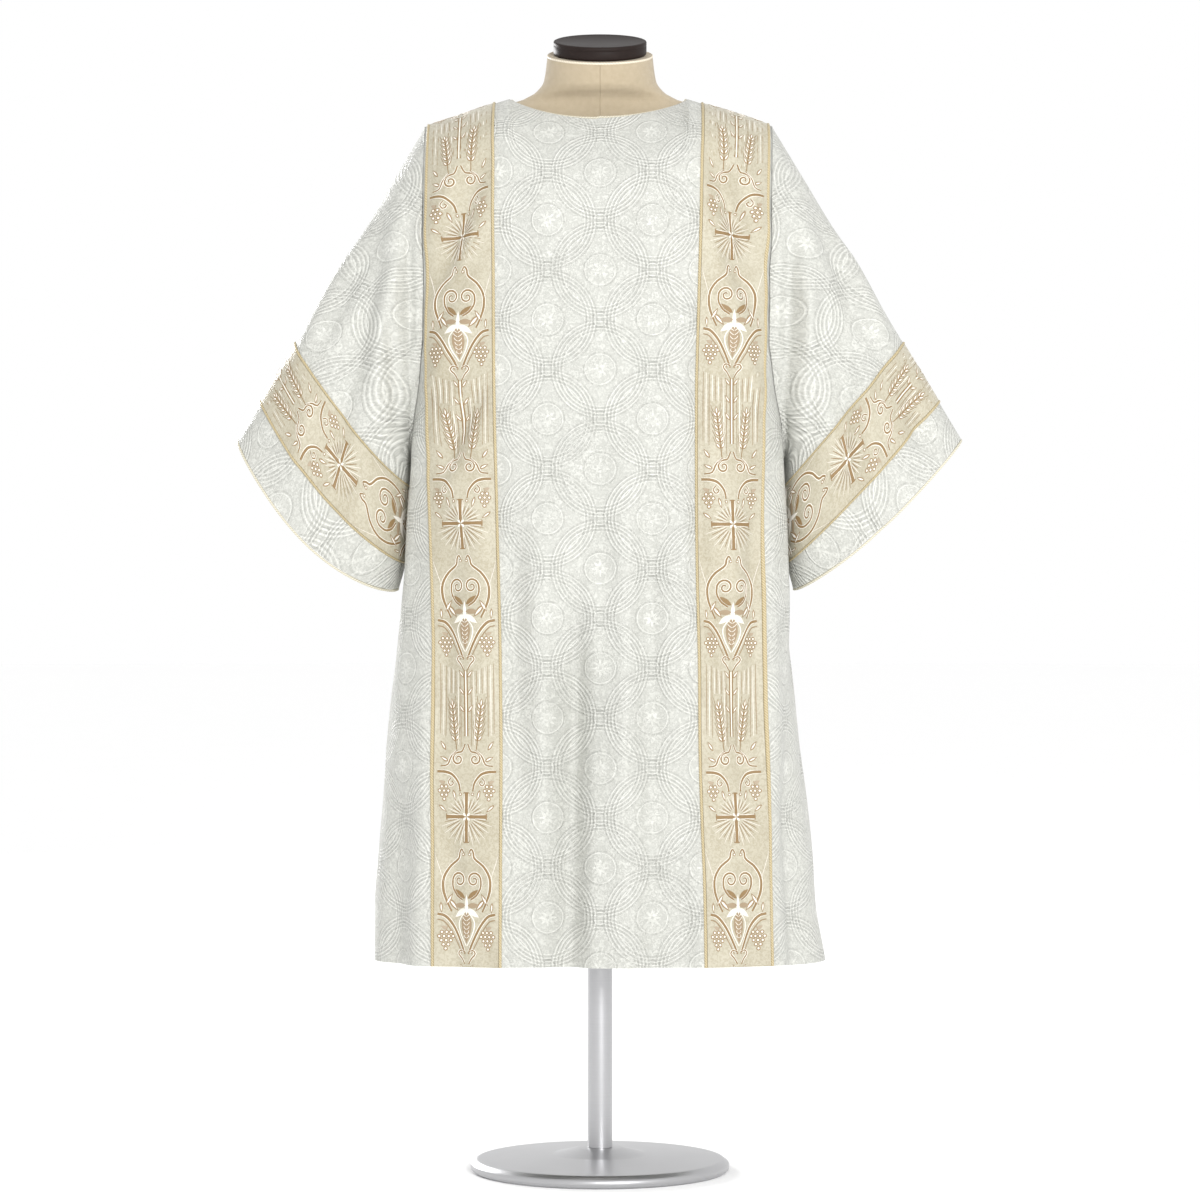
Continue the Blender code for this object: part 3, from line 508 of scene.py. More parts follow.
def superellipse(sides, half_width, half_depth, squareness):
    """Points round a superellipse, from +X towards +Y."""
    turn = np.arange(sides) * 2 * math.pi / sides
    cosine = np.cos(turn)
    sine = np.sin(turn)
    power = 2 / squareness
    x = half_width * np.sign(cosine) * np.abs(cosine) ** power
    y = half_depth * np.sign(sine) * np.abs(sine) ** power
    return x, y


# ---------------------------------------------------------------- finer surfaces

FINE_PANEL_LEVELS = (120, 50, 46)
FINE_SIDE_CELLS = 27
FINE_BAND_CELLS = 20
FINE_CENTRE_CELLS = 48
FINE_SHOULDER_CELLS = 5
FINE_SLEEVE_RINGS = (10, 56, 24, 16)
FINE_SLEEVE_HALF = 90
SLEEVE_START = 0.06
SHOULDER_CROWDING = 1.8
# ACROSS at a band's middle
BAND_MIDDLE = 1.5
THREAD_LIFT = 0.00012
THREAD_FULLNESS = 1.25
PIPING_POINTS = 9
EDGING_SIDES = 12
EDGING_POWER = 0.7
FORM_RINGS = 110
FORM_AROUND = 120
FORM_SHARES = (0.0, 0.06, 0.55, 1.0)
FORM_FOOT = 0.012
FORM_CHEST = 1.27
FORM_SHOULDER = (1.345, 1.3925)
SHOULDER_EASE = 0.0025
CAP_AROUND = 128
CAP_PROFILE = (
    (0.0570, 0.0000),
    (0.0585, 0.0003),
    (0.0600, 0.0012),
    (0.0605, 0.0030),
    (0.0605, 0.0120),
    (0.0601, 0.0128),
    (0.0605, 0.0136),
    (0.0605, 0.0170),
    (0.0600, 0.0182),
    (0.0585, 0.0189),
    (0.0565, 0.0190),
    (0.0545, 0.0183),
)
TAPE_SEAT = 0.0005
TAPE_OUT = 0.0016
TAPE_HEIGHT = 0.0016
TAPE_SHADE = 0.8
TAPE_TURN = 0.004
TAPE_RELIEF = 0.0003
STAND_AROUND = 128
BASE_RINGS = 60
SHARP_DEGREES = 50
SENSOR_WIDTH = 36.0
FLOOR_RADIUS = 40.0
FLOOR_AROUND = 96
KEY_PLACE = (1.4, -5.4, 2.2)
BACK_PLACE = (-2.9, 4.9, 2.2)
LIGHT_AIM = (0.0, 0.0, 0.75)
LIGHT_SIZE = 1.2

# Finishes. A noise is its scale, detail and bend, and edges are where a soft step starts and ends. The
# other values say how much each part adds to the share of the second colour, the roughness or the height.
DAMASK = SimpleNamespace(
    circle=0.345, ring=0.135, lines=4, gap_ring=1.5, petals=8.0, petal=0.045, heart=0.040, edge=0.1,
    eye=(0.3, 0.6), bloom=0.7, leaf_noise=(2.0, 1.6), leaf_edges=(0.38, 0.62), cloud_noise=(13.0, 3.0),
    cloud_edges=(0.30, 0.70), grain_noise=(1100.0, 1.0), ground=0.36, bright=0.16, bright_cloud=0.34,
    dark=0.16, leaves=0.42, leaves_cloud=0.16, grain=0.25, rough=0.56, gloss=0.20, leaf_height=0.8,
    grain_height=0.4, constants={"Sheen Weight": 0.08, "Sheen Roughness": 0.4, "Specular IOR Level": 0.5},
)
SATIN = SimpleNamespace(
    twill=1.7, stroke_noise=(1.5, 1.2), stroke_edges=(0.44, 0.60), cloud_noise=(18.0, 3.0),
    cloud_edges=(0.25, 0.75), rib=0.15, woven=0.45, cloud=0.40, rough=0.40, twill_rough=0.08,
    woven_rough=0.12, rib_height=0.4, twill_height=0.3, woven_depth=0.6, relief=0.00022,
    constants={"Sheen Weight": 0.15, "Specular IOR Level": 0.5},
)
THREAD = SimpleNamespace(
    noise=(1400.0, 1.0), grain=0.12, rough=0.42, grain_rough=0.16, relief=0.00012,
    constants={"Specular IOR Level": 0.3},
)
CORD = SimpleNamespace(starts=2.0, rough=0.50, gloss=0.14, constants={"Specular IOR Level": 0.55})
LINEN = SimpleNamespace(
    radius=0.15, wander_noise=(60.0, 2.0), wander=0.0012, slub_noise=(150.0, 3.0),
    seam_edges=(0.0004, 0.0014), weave=0.55, slub=0.45, seam=0.35, weave_height=0.5, slub_height=0.5,
    seam_depth=1.4, rough=0.85, gloss=0.12, relief=0.0004, constants={"Sheen Weight": 0.2},
)
CAP = SimpleNamespace(
    stretch=(40.0, 240.0, 400.0), detail=4.0, light=2.2, rough=0.42, uneven=0.15, relief=0.00008,
    constants={"Specular IOR Level": 0.12},
)
STEEL = SimpleNamespace(
    stretch=(30.0, 30.0, 2200.0), detail=2.0, smudge_noise=(14.0, 3.0), dark=0.86, rough=0.26,
    brush_rough=0.12, smudge_rough=0.08, relief=0.00005, constants={"Metallic": 1.0},
)
PAPER = SimpleNamespace(
    noise=(3.0, 2.0), shade=0.99, uneven=0.05, rough=0.85, relief=0.0001,
    constants={"Specular IOR Level": 0.2},
)

# The cut before sewing: each piece's (width, length) and its area
PANEL_CUTS = {"front": ((0.75, 1.19), 0.700), "back": ((0.74, 1.18), 0.684)}
SLEEVE_CUT = ((0.475, 1.01), 0.212)


def run(points, axis):
    """Distance covered along an axis of a grid of points, starting at 0."""
    steps = np.linalg.norm(np.diff(points, axis=axis), axis=-1)
    start = np.zeros_like(np.take(steps, [0], axis=axis))
    return np.cumsum(np.concatenate((start, steps), axis=axis), axis=axis)


def grid_normals(points, closed):
    """Unit normals of a grid of points, from each point's neighbours. A closed grid wraps across."""
    climb = np.gradient(points, axis=0)
    if closed:
        across = np.roll(points, -1, axis=1) - np.roll(points, 1, axis=1)
    else:
        across = np.gradient(points, axis=1)
    return unit(np.cross(across, climb))


def add_mesh(name, points, faces, uv=None, tone=None):
    """A piece from its points and faces, with the UV of every face corner and the tone of every point."""
    mesh = bpy.data.meshes.new(name)
    mesh.from_pydata(points.reshape(-1, 3), [], faces)
    if uv is not None:
        layer = mesh.uv_layers.new(name="cloth")
        layer.data.foreach_set("uv", uv.reshape(-1).astype(np.float32))
    if tone is not None:
        attribute = mesh.attributes.new("tone", "FLOAT", "POINT")
        attribute.data.foreach_set("value", tone.astype(np.float32))
    mesh.shade_smooth()
    mesh.set_sharp_from_angle(angle=math.radians(SHARP_DEGREES))
    made = bpy.data.objects.new(name, mesh)
    bpy.context.scene.collection.objects.link(made)
    return made


def dress_piece(made, finish, slot_name, *nodes):
    """A piece's material, its place on the root body, and the solids that it stands for. SLOT_NAME is not
    used.
    """
    made.data.materials.append(finish)
    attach(made, "root")
    if nodes:
        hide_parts(*nodes)
    return made


def facing_out(points, faces):
    """The faces of a closed body, turned round where they enclose less than nothing."""
    a, b, c, d = (points[faces[:, k]] for k in range(4))
    volume = np.sum(a * np.cross(b, c)) + np.sum(a * np.cross(c, d))
    return faces[:, ::-1] if volume < 0 else faces


def grid_quads(rows, count, closed):
    """Faces of a grid of points and, for their corners, the column past the last where it wraps."""
    i = np.arange(rows - 1)[:, None]
    j = np.arange(count if closed else count - 1)[None, :]
    i, j = np.broadcast_arrays(i, j)
    rows_at = np.stack((i, i, i + 1, i + 1), axis=-1).reshape(-1, 4)
    columns_at = np.stack((j, j + 1, j + 1, j), axis=-1).reshape(-1, 4)
    return rows_at, columns_at


def wall(outer, inner, uv, closed):
    """A wall between two grids: both skins, joined along every open edge. UV has one more column where the
    grids close round."""
    rows, count = outer.shape[:2]
    skin = rows * count
    rows_at, columns_at = grid_quads(rows, count, closed)
    outside = rows_at * count + columns_at % count
    corner_uv = uv[rows_at, columns_at]
    faces = [outside, outside[:, ::-1] + skin]
    corners = [corner_uv, corner_uv[:, ::-1]]
    index = np.arange(skin).reshape(rows, count)
    around = np.arange(count + 1 if closed else count)
    first, last = (index[row, around % count] for row in (0, -1))
    edges = [(first, uv[0, around]), (last[::-1], uv[-1, around][::-1])]
    if not closed:
        edges += [(index[::-1, 0], uv[::-1, 0]), (index[:, -1], uv[:, -1])]
    for line, line_uv in edges:
        faces.append(np.stack((line[1:], line[:-1], line[:-1] + skin, line[1:] + skin), axis=-1))
        corners.append(np.stack((line_uv[1:], line_uv[:-1], line_uv[:-1], line_uv[1:]), axis=1))
    points = np.concatenate((outer.reshape(-1, 3), inner.reshape(-1, 3)))
    return points, np.concatenate(faces), np.concatenate(corners)


def add_bar(name, sections, closed):
    """A bar: one closed section, points around, carried along a path. The path is a ring, or the bar ends
    in a flat face at each end. U runs round the bar from 0 to 1 and V along it, in metres."""
    count, sides = sections.shape[:2]
    path = np.concatenate((sections, sections[:1])) if closed else sections
    distance = run(path, 0)[:, 0]
    i, j = np.broadcast_arrays(np.arange(len(path) - 1)[:, None], np.arange(sides)[None, :])
    near = (i % count) * sides
    far = ((i + 1) % count) * sides
    following = (j + 1) % sides
    faces = np.stack((near + j, near + following, far + following, far + j), -1).reshape(-1, 4)
    u = np.stack((j, j + 1, j + 1, j), -1) / sides
    v = np.stack((distance[i], distance[i], distance[i + 1], distance[i + 1]), -1)
    uv = np.stack((u, v), -1).reshape(-1, 4, 2)
    points = sections.reshape(-1, 3)
    turned_faces = facing_out(points, faces)
    flipped = turned_faces is not faces
    uv = uv[:, ::-1] if flipped else uv
    ends = []
    if not closed:
        ring = np.arange(sides)
        last = ring + (count - 1) * sides
        ends = [ring.tolist(), last[::-1].tolist()] if flipped else [ring[::-1].tolist(), last.tolist()]
        uv = np.concatenate((uv.reshape(-1, 2), np.zeros((2 * sides, 2))))
    return add_mesh(name, points, turned_faces.tolist() + ends, uv)


def add_loft(name, rings):
    """A closed solid through rings of points, from the lowest up. A fan of faces closes each end."""
    rows, count = rings.shape[:2]
    rows_at, columns_at = grid_quads(rows, count, True)
    faces = (rows_at * count + columns_at % count).tolist()
    first = np.arange(count)
    last = first + (rows - 1) * count
    middle = rows * count
    faces += np.stack((np.roll(first, -1), first, np.full(count, middle)), -1).tolist()
    faces += np.stack((last, np.roll(last, -1), np.full(count, middle + 1)), -1).tolist()
    centres = np.stack((rings[0].mean(axis=0), rings[-1].mean(axis=0)))
    return add_mesh(name, np.concatenate((rings.reshape(-1, 3), centres)), faces)


def turned_rings(profile, sides, depth=1.0, slope=0.0, base=0.0):
    """Rings of a turned body from (radius, height) points. DEPTH narrows it along Y, and SLOPE raises its
    back, so that the body stands square on a sloping seat at height BASE."""
    rings = []
    for radius, height in profile:
        x, y = superellipse(sides, radius, radius * depth, 2.0)
        y = y - slope * height
        rings.append(np.stack((x, y, base + height + slope * y), axis=-1))
    return np.array(rings)


# ---------------------------------------------------------------- shader maths


class Wire:
    """A value in a node tree. Python's operators on it add Math nodes."""

    def __init__(self, tree, socket=None):
        self.tree = tree
        self.socket = socket

    def node(self, kind, settings=None, inputs=None, output=0):
        """Any node: its settings are set first, then its sockets get values or links."""
        made = self.tree.nodes.new(kind)
        for name, value in (settings or {}).items():
            setattr(made, name, value)
        for name, value in (inputs or {}).items():
            if isinstance(value, Wire):
                self.tree.links.new(value.socket, made.inputs[name])
            else:
                made.inputs[name].default_value = value
        return Wire(self.tree, made.outputs[output])

    def function(self, operation, *others):
        """A Math node on this value and any others."""
        return self.node("ShaderNodeMath", {"operation": operation}, dict(enumerate((self, *others))))

    def __add__(self, other):
        return self.function("ADD", other)

    def __sub__(self, other):
        return self.function("SUBTRACT", other)

    def __rsub__(self, other):
        return self.function("MULTIPLY", -1.0).function("ADD", other)

    def __mul__(self, other):
        return self.function("MULTIPLY", other)

    def __truediv__(self, other):
        return self.function("DIVIDE", other)

    __radd__ = __add__
    __rmul__ = __mul__

    def rise(self, low, high):
        """0 below LOW, 1 above HIGH and a smooth step between."""
        settings = {"interpolation_type": "SMOOTHSTEP"}
        return self.node("ShaderNodeMapRange", settings, {0: self, 1: low, 2: high})

    def within(self, low, high, edge):
        """1 between LOW and HIGH, with soft edges."""
        return self.rise(low - edge, low + edge) * (1 - self.rise(high - edge, high + edge))

    def length(self, other):
        """The length of a flat vector whose parts are this value and another."""
        return (self * self + other * other).function("SQRT")

    def lines(self, start, pitch, count, soft=0.1):
        """A few waves of a sine from START on, COUNT times PITCH wide, and 0 elsewhere."""
        wave = ((self - start) * (2 * math.pi / pitch)).function("SINE")
        return wave * self.within(start, start + count * pitch, pitch * soft)

    def folded(self, period, shift=0.0):
        """Distance from the nearest whole multiple of a period, signed."""
        return ((self / period + (0.5 + shift)).function("FRACT") - 0.5) * period

    def on_object(self):
        """The place on the object, in metres."""
        return self.node("ShaderNodeTexCoord", None, None, 3)

    def stretched(self, factors):
        """A vector whose parts are multiplied by three factors."""
        return self.node("ShaderNodeVectorMath", {"operation": "MULTIPLY"}, {0: self, 1: factors})

    def parts(self):
        """The three parts of a vector."""
        split = self.node("ShaderNodeSeparateXYZ", None, {0: self}).socket.node
        return [Wire(self.tree, socket) for socket in split.outputs]

    def noise(self, vector, scale, detail=2.0, bend=0.0):
        """Noise of a scale, from 0 to 1. BEND turns its blots into crooked strokes."""
        inputs = {"Vector": vector, "Scale": scale, "Detail": detail, "Distortion": bend}
        return self.node("ShaderNodeTexNoise", None, inputs)

    def wave(self, period):
        """A sine of the value, from 0 to 1."""
        return (self * (2 * math.pi / period)).function("SINE") * 0.5 + 0.5

    def blend(self, first, second):
        """The Mix node on two colours, with this value as the share of the second."""
        ends = (end if isinstance(end, Wire) else (*end, 1.0) for end in (first, second))
        return self.node("ShaderNodeMix", {"data_type": "RGBA"}, dict(zip((0, 6, 7), (self, *ends))), 2)


def start_material(name):
    """A new material, its Principled shader and a wire to add nodes with."""
    made = bpy.data.materials.new(name)
    made.use_nodes = True
    return made, made.node_tree.nodes["Principled BSDF"], Wire(made.node_tree)


def dress(made, shader, colour, roughness, height, distance, constants):
    """Links a material's varying sockets and sets its constant ones."""
    tree = made.node_tree
    tree.links.new(colour.socket, shader.inputs["Base Color"])
    tree.links.new(roughness.socket, shader.inputs["Roughness"])
    bump = Wire(tree).node("ShaderNodeBump", None, {"Height": height, "Distance": distance, "Strength": 1.0})
    tree.links.new(bump.socket, shader.inputs["Normal"])
    for name, value in constants.items():
        shader.inputs[name].default_value = value
    return made


def cloth_place(wire):
    """The place on the cloth: its UV as a vector, and U and V, in metres."""
    place = wire.node("ShaderNodeUVMap", {"uv_map": "cloth"})
    u, v, _ = place.parts()
    return place, u, v


def damask_material(settings):
    """Ivory damask. Large circles stand on two lattices, one midway between the other's centres, and cross
    their neighbours. Each is a group of fine lines: a sine of the distance from its centre, inside a window.
    The sine's crests are painted highlight and its troughs painted shade, as on raised lines. A ring and a
    petalled rosette lie at each centre, a small ring fills each gap, and a bent noise fills the ground with
    leafy marks. A slow cloud is painted sheen: it makes the figure strong in some places and faint in
    others, as light on satin does."""
    made, shader, wire = start_material("ivory_damask_cloth")
    place, u, v = cloth_place(wire)
    wide, high = settings.figure_width, settings.figure_height
    near_x, near_y = u.folded(wide), v.folded(high)
    far_x, far_y = u.folded(wide, 0.5), v.folded(high, 0.5)
    near, far = near_x.length(near_y), far_x.length(far_y)
    nearer = near.function("LESS_THAN", far)
    radius = near.function("MINIMUM", far)
    gap = near_x.length(far_y).function("MINIMUM", far_x.length(near_y))
    dx = near_x * nearer + far_x * (1 - nearer)
    dy = near_y * nearer + far_y * (1 - nearer)
    pitch = settings.line_pitch
    circle = wide * DAMASK.circle
    lines = near.lines(circle, pitch, DAMASK.lines) + far.lines(circle, pitch, DAMASK.lines)
    lines = lines + radius.lines(wide * DAMASK.ring, pitch, 1) + gap.lines(pitch * DAMASK.gap_ring, pitch, 1)
    petals = (dy.function("ARCTAN2", dx) * DAMASK.petals).function("COSINE") * 0.5 + 0.5
    reach = petals * (wide * DAMASK.petal) + wide * DAMASK.heart
    soft = pitch * DAMASK.edge
    bloom = (reach - radius).rise(-soft, soft) * radius.rise(pitch * DAMASK.eye[0], pitch * DAMASK.eye[1])
    lines = lines + bloom * DAMASK.bloom
    leaves = wire.noise(place, 1 / settings.leaf_size, *DAMASK.leaf_noise).rise(*DAMASK.leaf_edges) - 0.5
    # The cloud is painted sheen: where it is strong, the lines' painted highlights are strong and the leafy
    # marks faint.
    cloud = wire.noise(place, *DAMASK.cloud_noise).rise(*DAMASK.cloud_edges)
    grain = wire.noise(place, *DAMASK.grain_noise) - 0.5
    # Painted light: the bright half of each line is painted highlight and the dark half painted shade.
    bright, dark = lines.function("MAXIMUM", 0.0), lines.function("MINIMUM", 0.0)
    share = DAMASK.ground + bright * (DAMASK.bright + cloud * DAMASK.bright_cloud) + dark * DAMASK.dark
    share = share + leaves * (DAMASK.leaves - cloud * DAMASK.leaves_cloud) + grain * DAMASK.grain
    share = share.function("MINIMUM", 1.0).function("MAXIMUM", 0.0)
    tint = share.blend(settings.ground, settings.figure)
    roughness = DAMASK.rough - share * DAMASK.gloss
    height = lines + leaves * DAMASK.leaf_height + grain * DAMASK.grain_height
    return dress(made, shader, tint, roughness, height, settings.relief, DAMASK.constants)


def band_material(settings):
    """The bands' champagne satin: a fine rib along the band with painted shade between the ribs, small woven
    strokes, and a slow cloud of painted sheen.
    """
    made, shader, wire = start_material("champagne_satin_band")
    place, u, v = cloth_place(wire)
    rib = u.wave(settings.rib)
    twill = (u + v).wave(settings.rib * SATIN.twill)
    woven = wire.noise(place, 1 / settings.stroke, *SATIN.stroke_noise).rise(*SATIN.stroke_edges)
    cloud = wire.noise(place, *SATIN.cloud_noise).rise(*SATIN.cloud_edges)
    # Painted light: the painted shade between ribs and the cloud's painted sheen pull towards the shade
    # colour, as the woven strokes do.
    share = rib * SATIN.rib + woven * SATIN.woven + cloud * SATIN.cloud
    tint = share.blend(settings.ground, settings.ground_shade)
    roughness = SATIN.rough + twill * SATIN.twill_rough + woven * SATIN.woven_rough
    height = rib * SATIN.rib_height + twill * SATIN.twill_height - woven * SATIN.woven_depth
    return dress(made, shader, tint, roughness, height, SATIN.relief, SATIN.constants)


def thread_material(settings):
    """The bands' figure: satin thread, brown where TONE is 0 and cream where it is 1, with a fine twist."""
    made, shader, wire = start_material("brocade_thread")
    tone = wire.node("ShaderNodeAttribute", {"attribute_name": "tone"}, None, 2)
    grain = wire.noise(wire.on_object(), *THREAD.noise)
    share = (tone + grain * THREAD.grain).function("MINIMUM", 1.0)
    tint = share.blend(settings.figure_dark, settings.figure_light)
    roughness = THREAD.rough + grain * THREAD.grain_rough
    return dress(made, shader, tint, roughness, grain, THREAD.relief, THREAD.constants)


def cord_material(name, colour, shade, turn, relief):
    """Twisted or corded trim: slanting ridges round the cord, with painted shade between them."""
    made, shader, wire = start_material(name)
    _, u, v = cloth_place(wire)
    ridge = (v / turn + u * CORD.starts).wave(1.0)
    # The shade colour is painted shade between the ridges.
    tint = ridge.blend(shade, colour)
    roughness = CORD.rough - ridge * CORD.gloss
    return dress(made, shader, tint, roughness, ridge, relief, CORD.constants)


def linen_material(settings):
    """Natural linen: crossed threads of uneven thickness, with slubs, and a seam down the middle of front
    and back. The colour is darker between the threads, as painted shade. Threads run level and upright,
    read from the place on the form."""
    made, shader, wire = start_material("natural_linen")
    place = wire.on_object()
    x, y, z = place.parts()
    around = y.function("ARCTAN2", x) * LINEN.radius
    wander = wire.noise(place, *LINEN.wander_noise) * LINEN.wander
    weft = (z + wander).wave(settings.linen_thread)
    warp = (around + wander).wave(settings.linen_thread)
    weave = weft.function("MAXIMUM", warp)
    slub = wire.noise(place, *LINEN.slub_noise)
    seam = 1 - x.function("ABSOLUTE").rise(*LINEN.seam_edges)
    # The weave darkens the linen between threads as painted shade. The slubs are its own uneven tone.
    share = weave * LINEN.weave + slub * LINEN.slub
    tint = share.blend(settings.linen_shade, settings.linen)
    tint = (seam * LINEN.seam).blend(tint, settings.linen_shade)
    height = weave * LINEN.weave_height + slub * LINEN.slub_height - seam * LINEN.seam_depth
    return dress(made, shader, tint, LINEN.rough - slub * LINEN.gloss, height, LINEN.relief, LINEN.constants)


def cap_material(settings):
    """Dark lacquered wood: a low grain in the colour and a faint unevenness in the gloss."""
    made, shader, wire = start_material("dark_lacquered_cap")
    grain = wire.noise(wire.on_object().stretched(CAP.stretch), 1.0, CAP.detail)
    light = tuple(part * CAP.light for part in settings.cap)
    tint = grain.blend(settings.cap, light)
    return dress(made, shader, tint, CAP.rough + grain * CAP.uneven, grain, CAP.relief, CAP.constants)


def steel_material(settings):
    """Satin steel: fine rings of brushing round the upright axis and along the base."""
    made, shader, wire = start_material("satin_steel")
    place = wire.on_object()
    brush = wire.noise(place.stretched(STEEL.stretch), 1.0, STEEL.detail)
    smudge = wire.noise(place, *STEEL.smudge_noise)
    dark = tuple(part * STEEL.dark for part in settings.steel)
    tint = brush.blend(dark, settings.steel)
    roughness = STEEL.rough + brush * STEEL.brush_rough + smudge * STEEL.smudge_rough
    return dress(made, shader, tint, roughness, brush, STEEL.relief, STEEL.constants)


def paper_material(settings):
    """The studio's floor paper, with a faint grain."""
    made, shader, wire = start_material("studio_paper")
    grain = wire.noise(wire.on_object(), *PAPER.noise)
    shade = tuple(part * PAPER.shade for part in settings.floor)
    tint = grain.blend(shade, settings.floor)
    roughness = grain * PAPER.uneven + PAPER.rough
    return dress(made, shader, tint, roughness, grain, PAPER.relief, PAPER.constants)


# ---------------------------------------------------------------- cloth

CLOTH = {}


def fine_lines():
    """The fine grid of a panel: across from seam to seam, with lines at every band edge, and up."""
    piping = PIPING_WIDTH / BAND_WIDTH
    half = np.concatenate(
        (
            np.linspace(0, NECK_SHARE, FINE_CENTRE_CELLS // 2 + 1),
            np.linspace(NECK_SHARE, 1, FINE_SHOULDER_CELLS + 1)[1:],
            np.linspace(1 + piping, 2 - piping, FINE_BAND_CELLS + 1),
            np.linspace(2, 3, FINE_SIDE_CELLS + 1),
        )
    )
    skirt, arm, shoulder = FINE_PANEL_LEVELS
    rise = 2 + (1 - (1 - np.linspace(0, 1, shoulder + 1)) ** SHOULDER_CROWDING)
    level = np.concatenate((np.linspace(0, 1, skirt + 1), np.linspace(1, 2, arm + 1)[1:], rise[1:]))
    return np.concatenate((-half[:0:-1], half)), level


def fine_cloth(front):
    """A panel's fine grid, kept for the bands and trims: lines, points, normals and flat UV in metres."""
    key = "front" if front else "back"
    if key not in CLOTH:
        across, level = fine_lines()
        if not front:
            across = across[::-1]
        points = panel(across[None, :], level[:, None], front)
        normals = grid_normals(points, closed=False)
        way = np.sign(points[..., :1])
        side_seam = (np.abs(across)[None, :] > 3 - TOLERANCE) & (level[:, None] < 1 + TOLERANCE)
        normals = np.where(side_seam[..., None], way * (1.0, 0.0, 0.0), normals)
        on_seam = (np.abs(across)[None, :] > NECK_SHARE - TOLERANCE) & (level[:, None] > 3 - TOLERANCE)
        ridge = unit(way * (SHOULDER_SLOPE, 0.0, 0.0) + (0.0, 0.0, 1.0))
        normals = np.where(on_seam[..., None], ridge, normals)
        flat = smooth_panel(across[None, :], level[:, None], front)
        along = run(flat, 1)
        middle = int(np.argmin(np.abs(across)))
        uv = np.stack((along - along[:, middle : middle + 1], run(flat, 0)), axis=-1)
        CLOTH[key] = (across, level, points, normals, uv)
    return CLOTH[key]


def fine_tube(left):
    """A sleeve's fine rings, from the armhole out: each starts at the lower fold, climbs the front to the
    upper fold and comes down the back. Also its normals, its reaches and its flat UV in metres, where a
    ring is laid out straight from the upper edge, in the direction of its own chord."""
    key = "left" if left else "right"
    if key not in CLOTH:
        tip = float(panel(3.0 if left else -3.0, np.array(3.0), True)[..., 2])
        fall = 0.5 + 0.5 * np.cos(np.linspace(0, math.pi, FINE_SLEEVE_HALF + 1))
        z = tip - fall * (tip - UNDERARM)
        level = np.where(z < YOKE, 1 + (z - UNDERARM) / (YOKE - UNDERARM), 2 + (z - YOKE) / (tip - YOKE))
        start, middle, band, cuff = FINE_SLEEVE_RINGS
        edges = (BAND_UPPER - PIPING_REACH, BAND_LOWER + PIPING_REACH)
        reach = np.concatenate(
            (
                np.linspace(0, SLEEVE_START, start + 1),
                np.linspace(SLEEVE_START, edges[0], middle + 1)[1:],
                np.linspace(BAND_UPPER, BAND_LOWER, band + 1),
                np.linspace(edges[1], 1, cuff + 1),
            )
        )
        fore = sleeve(reach[:, None], level[None, :], left, True)
        aft = sleeve(reach[:, None], level[None, -2:0:-1], left, False)
        points = np.concatenate((fore, aft), axis=1)
        out = np.array((1.0 if left else -1.0, 0.0, 0.0))
        points[0] = points[0] + out * ARMHOLE_GAP
        fore = smooth_sleeve(reach[:, None], level[None, :], left, True)
        aft = smooth_sleeve(reach[:, None], level[None, -2:0:-1], left, False)
        flat = np.concatenate((fore, aft, fore[:, :1]), axis=1)
        normals = grid_normals(points, closed=True)
        centre = points.mean(axis=1, keepdims=True)
        sign = np.sign(np.sum((points - centre) * normals))
        normals = normals * sign
        around = run(flat, 1)
        around = around - around[:, FINE_SLEEVE_HALF, None]
        top = flat[:, FINE_SLEEVE_HALF, ::2]
        chord = unit(flat[:, 0, ::2] - top)
        edge = unit(top[-1] - top[0])
        aside = np.abs(chord[:, 0] * edge[1] - chord[:, 1] * edge[0])[:, None]
        along = ((top - top[0]) @ edge)[:, None] + np.abs(around) * (chord @ edge)[:, None]
        uv = np.stack((around * aside, along), axis=-1)
        CLOTH[key] = (reach, points, normals, uv, sign)
    return CLOTH[key]


def add_wall(name, outer, inner, uv, closed=False, flipped=False):
    """A wall of cloth between two grids. A flipped one has its rows turned round so that it faces out."""
    if flipped:
        outer, inner, uv = outer[::-1], inner[::-1], uv[::-1]
    points, faces, corners = wall(outer, inner, uv, closed)
    return add_mesh(name, points, faces, corners)


def piping_sections(first, second, first_normal, second_normal):
    """Sections of a rounded piping between two neighbouring grid lines: a half sine over a flat foot."""
    share = PIPING_CLEARANCE / 2 + (1 - PIPING_CLEARANCE) * np.linspace(0, 1, PIPING_POINTS)
    lift = np.sqrt(np.sin(np.linspace(0, math.pi, PIPING_POINTS)).clip(0))
    base = first[:, None] + (second - first)[:, None] * share[None, :, None]
    normal = unit(first_normal[:, None] + (second_normal - first_normal)[:, None] * share[None, :, None])
    top = base + normal * (PIPING_GAP + lift * PIPING_HEIGHT)[None, :, None]
    foot = base[:, -2:0:-3] + normal[:, -2:0:-3] * TRIM_GAP
    return np.concatenate((top, foot), axis=1)


def edging_sections(points, normals, outwards):
    """Sections of a round-backed edging just past an edge: an oval as wide as the binding, and as thick as
    the wall with its proud rims."""
    angle = np.arange(EDGING_SIDES) * 2 * math.pi / EDGING_SIDES
    cosine, sine = np.cos(angle), np.sin(angle)
    along = BINDING_GAP + BINDING_WIDTH * (0.5 + 0.5 * np.sign(cosine) * np.abs(cosine) ** EDGING_POWER)
    thick = WALL + 2 * BINDING_PROUD
    lift = BINDING_PROUD - thick * (0.5 - 0.5 * np.sign(sine) * np.abs(sine) ** EDGING_POWER)
    step = outwards[:, None] * along[None, :, None]
    return points[:, None] + step + normals[:, None] * lift[None, :, None]


# ---------------------------------------------------------------- the bands' figure
# Drawn for one repeat in millimetres: S across from the band's middle, T up from the cross. Every mark is
# a grid of (s, t, lift) and a tone, 0 brown to 1 cream, and both halves of the band mirror each other.

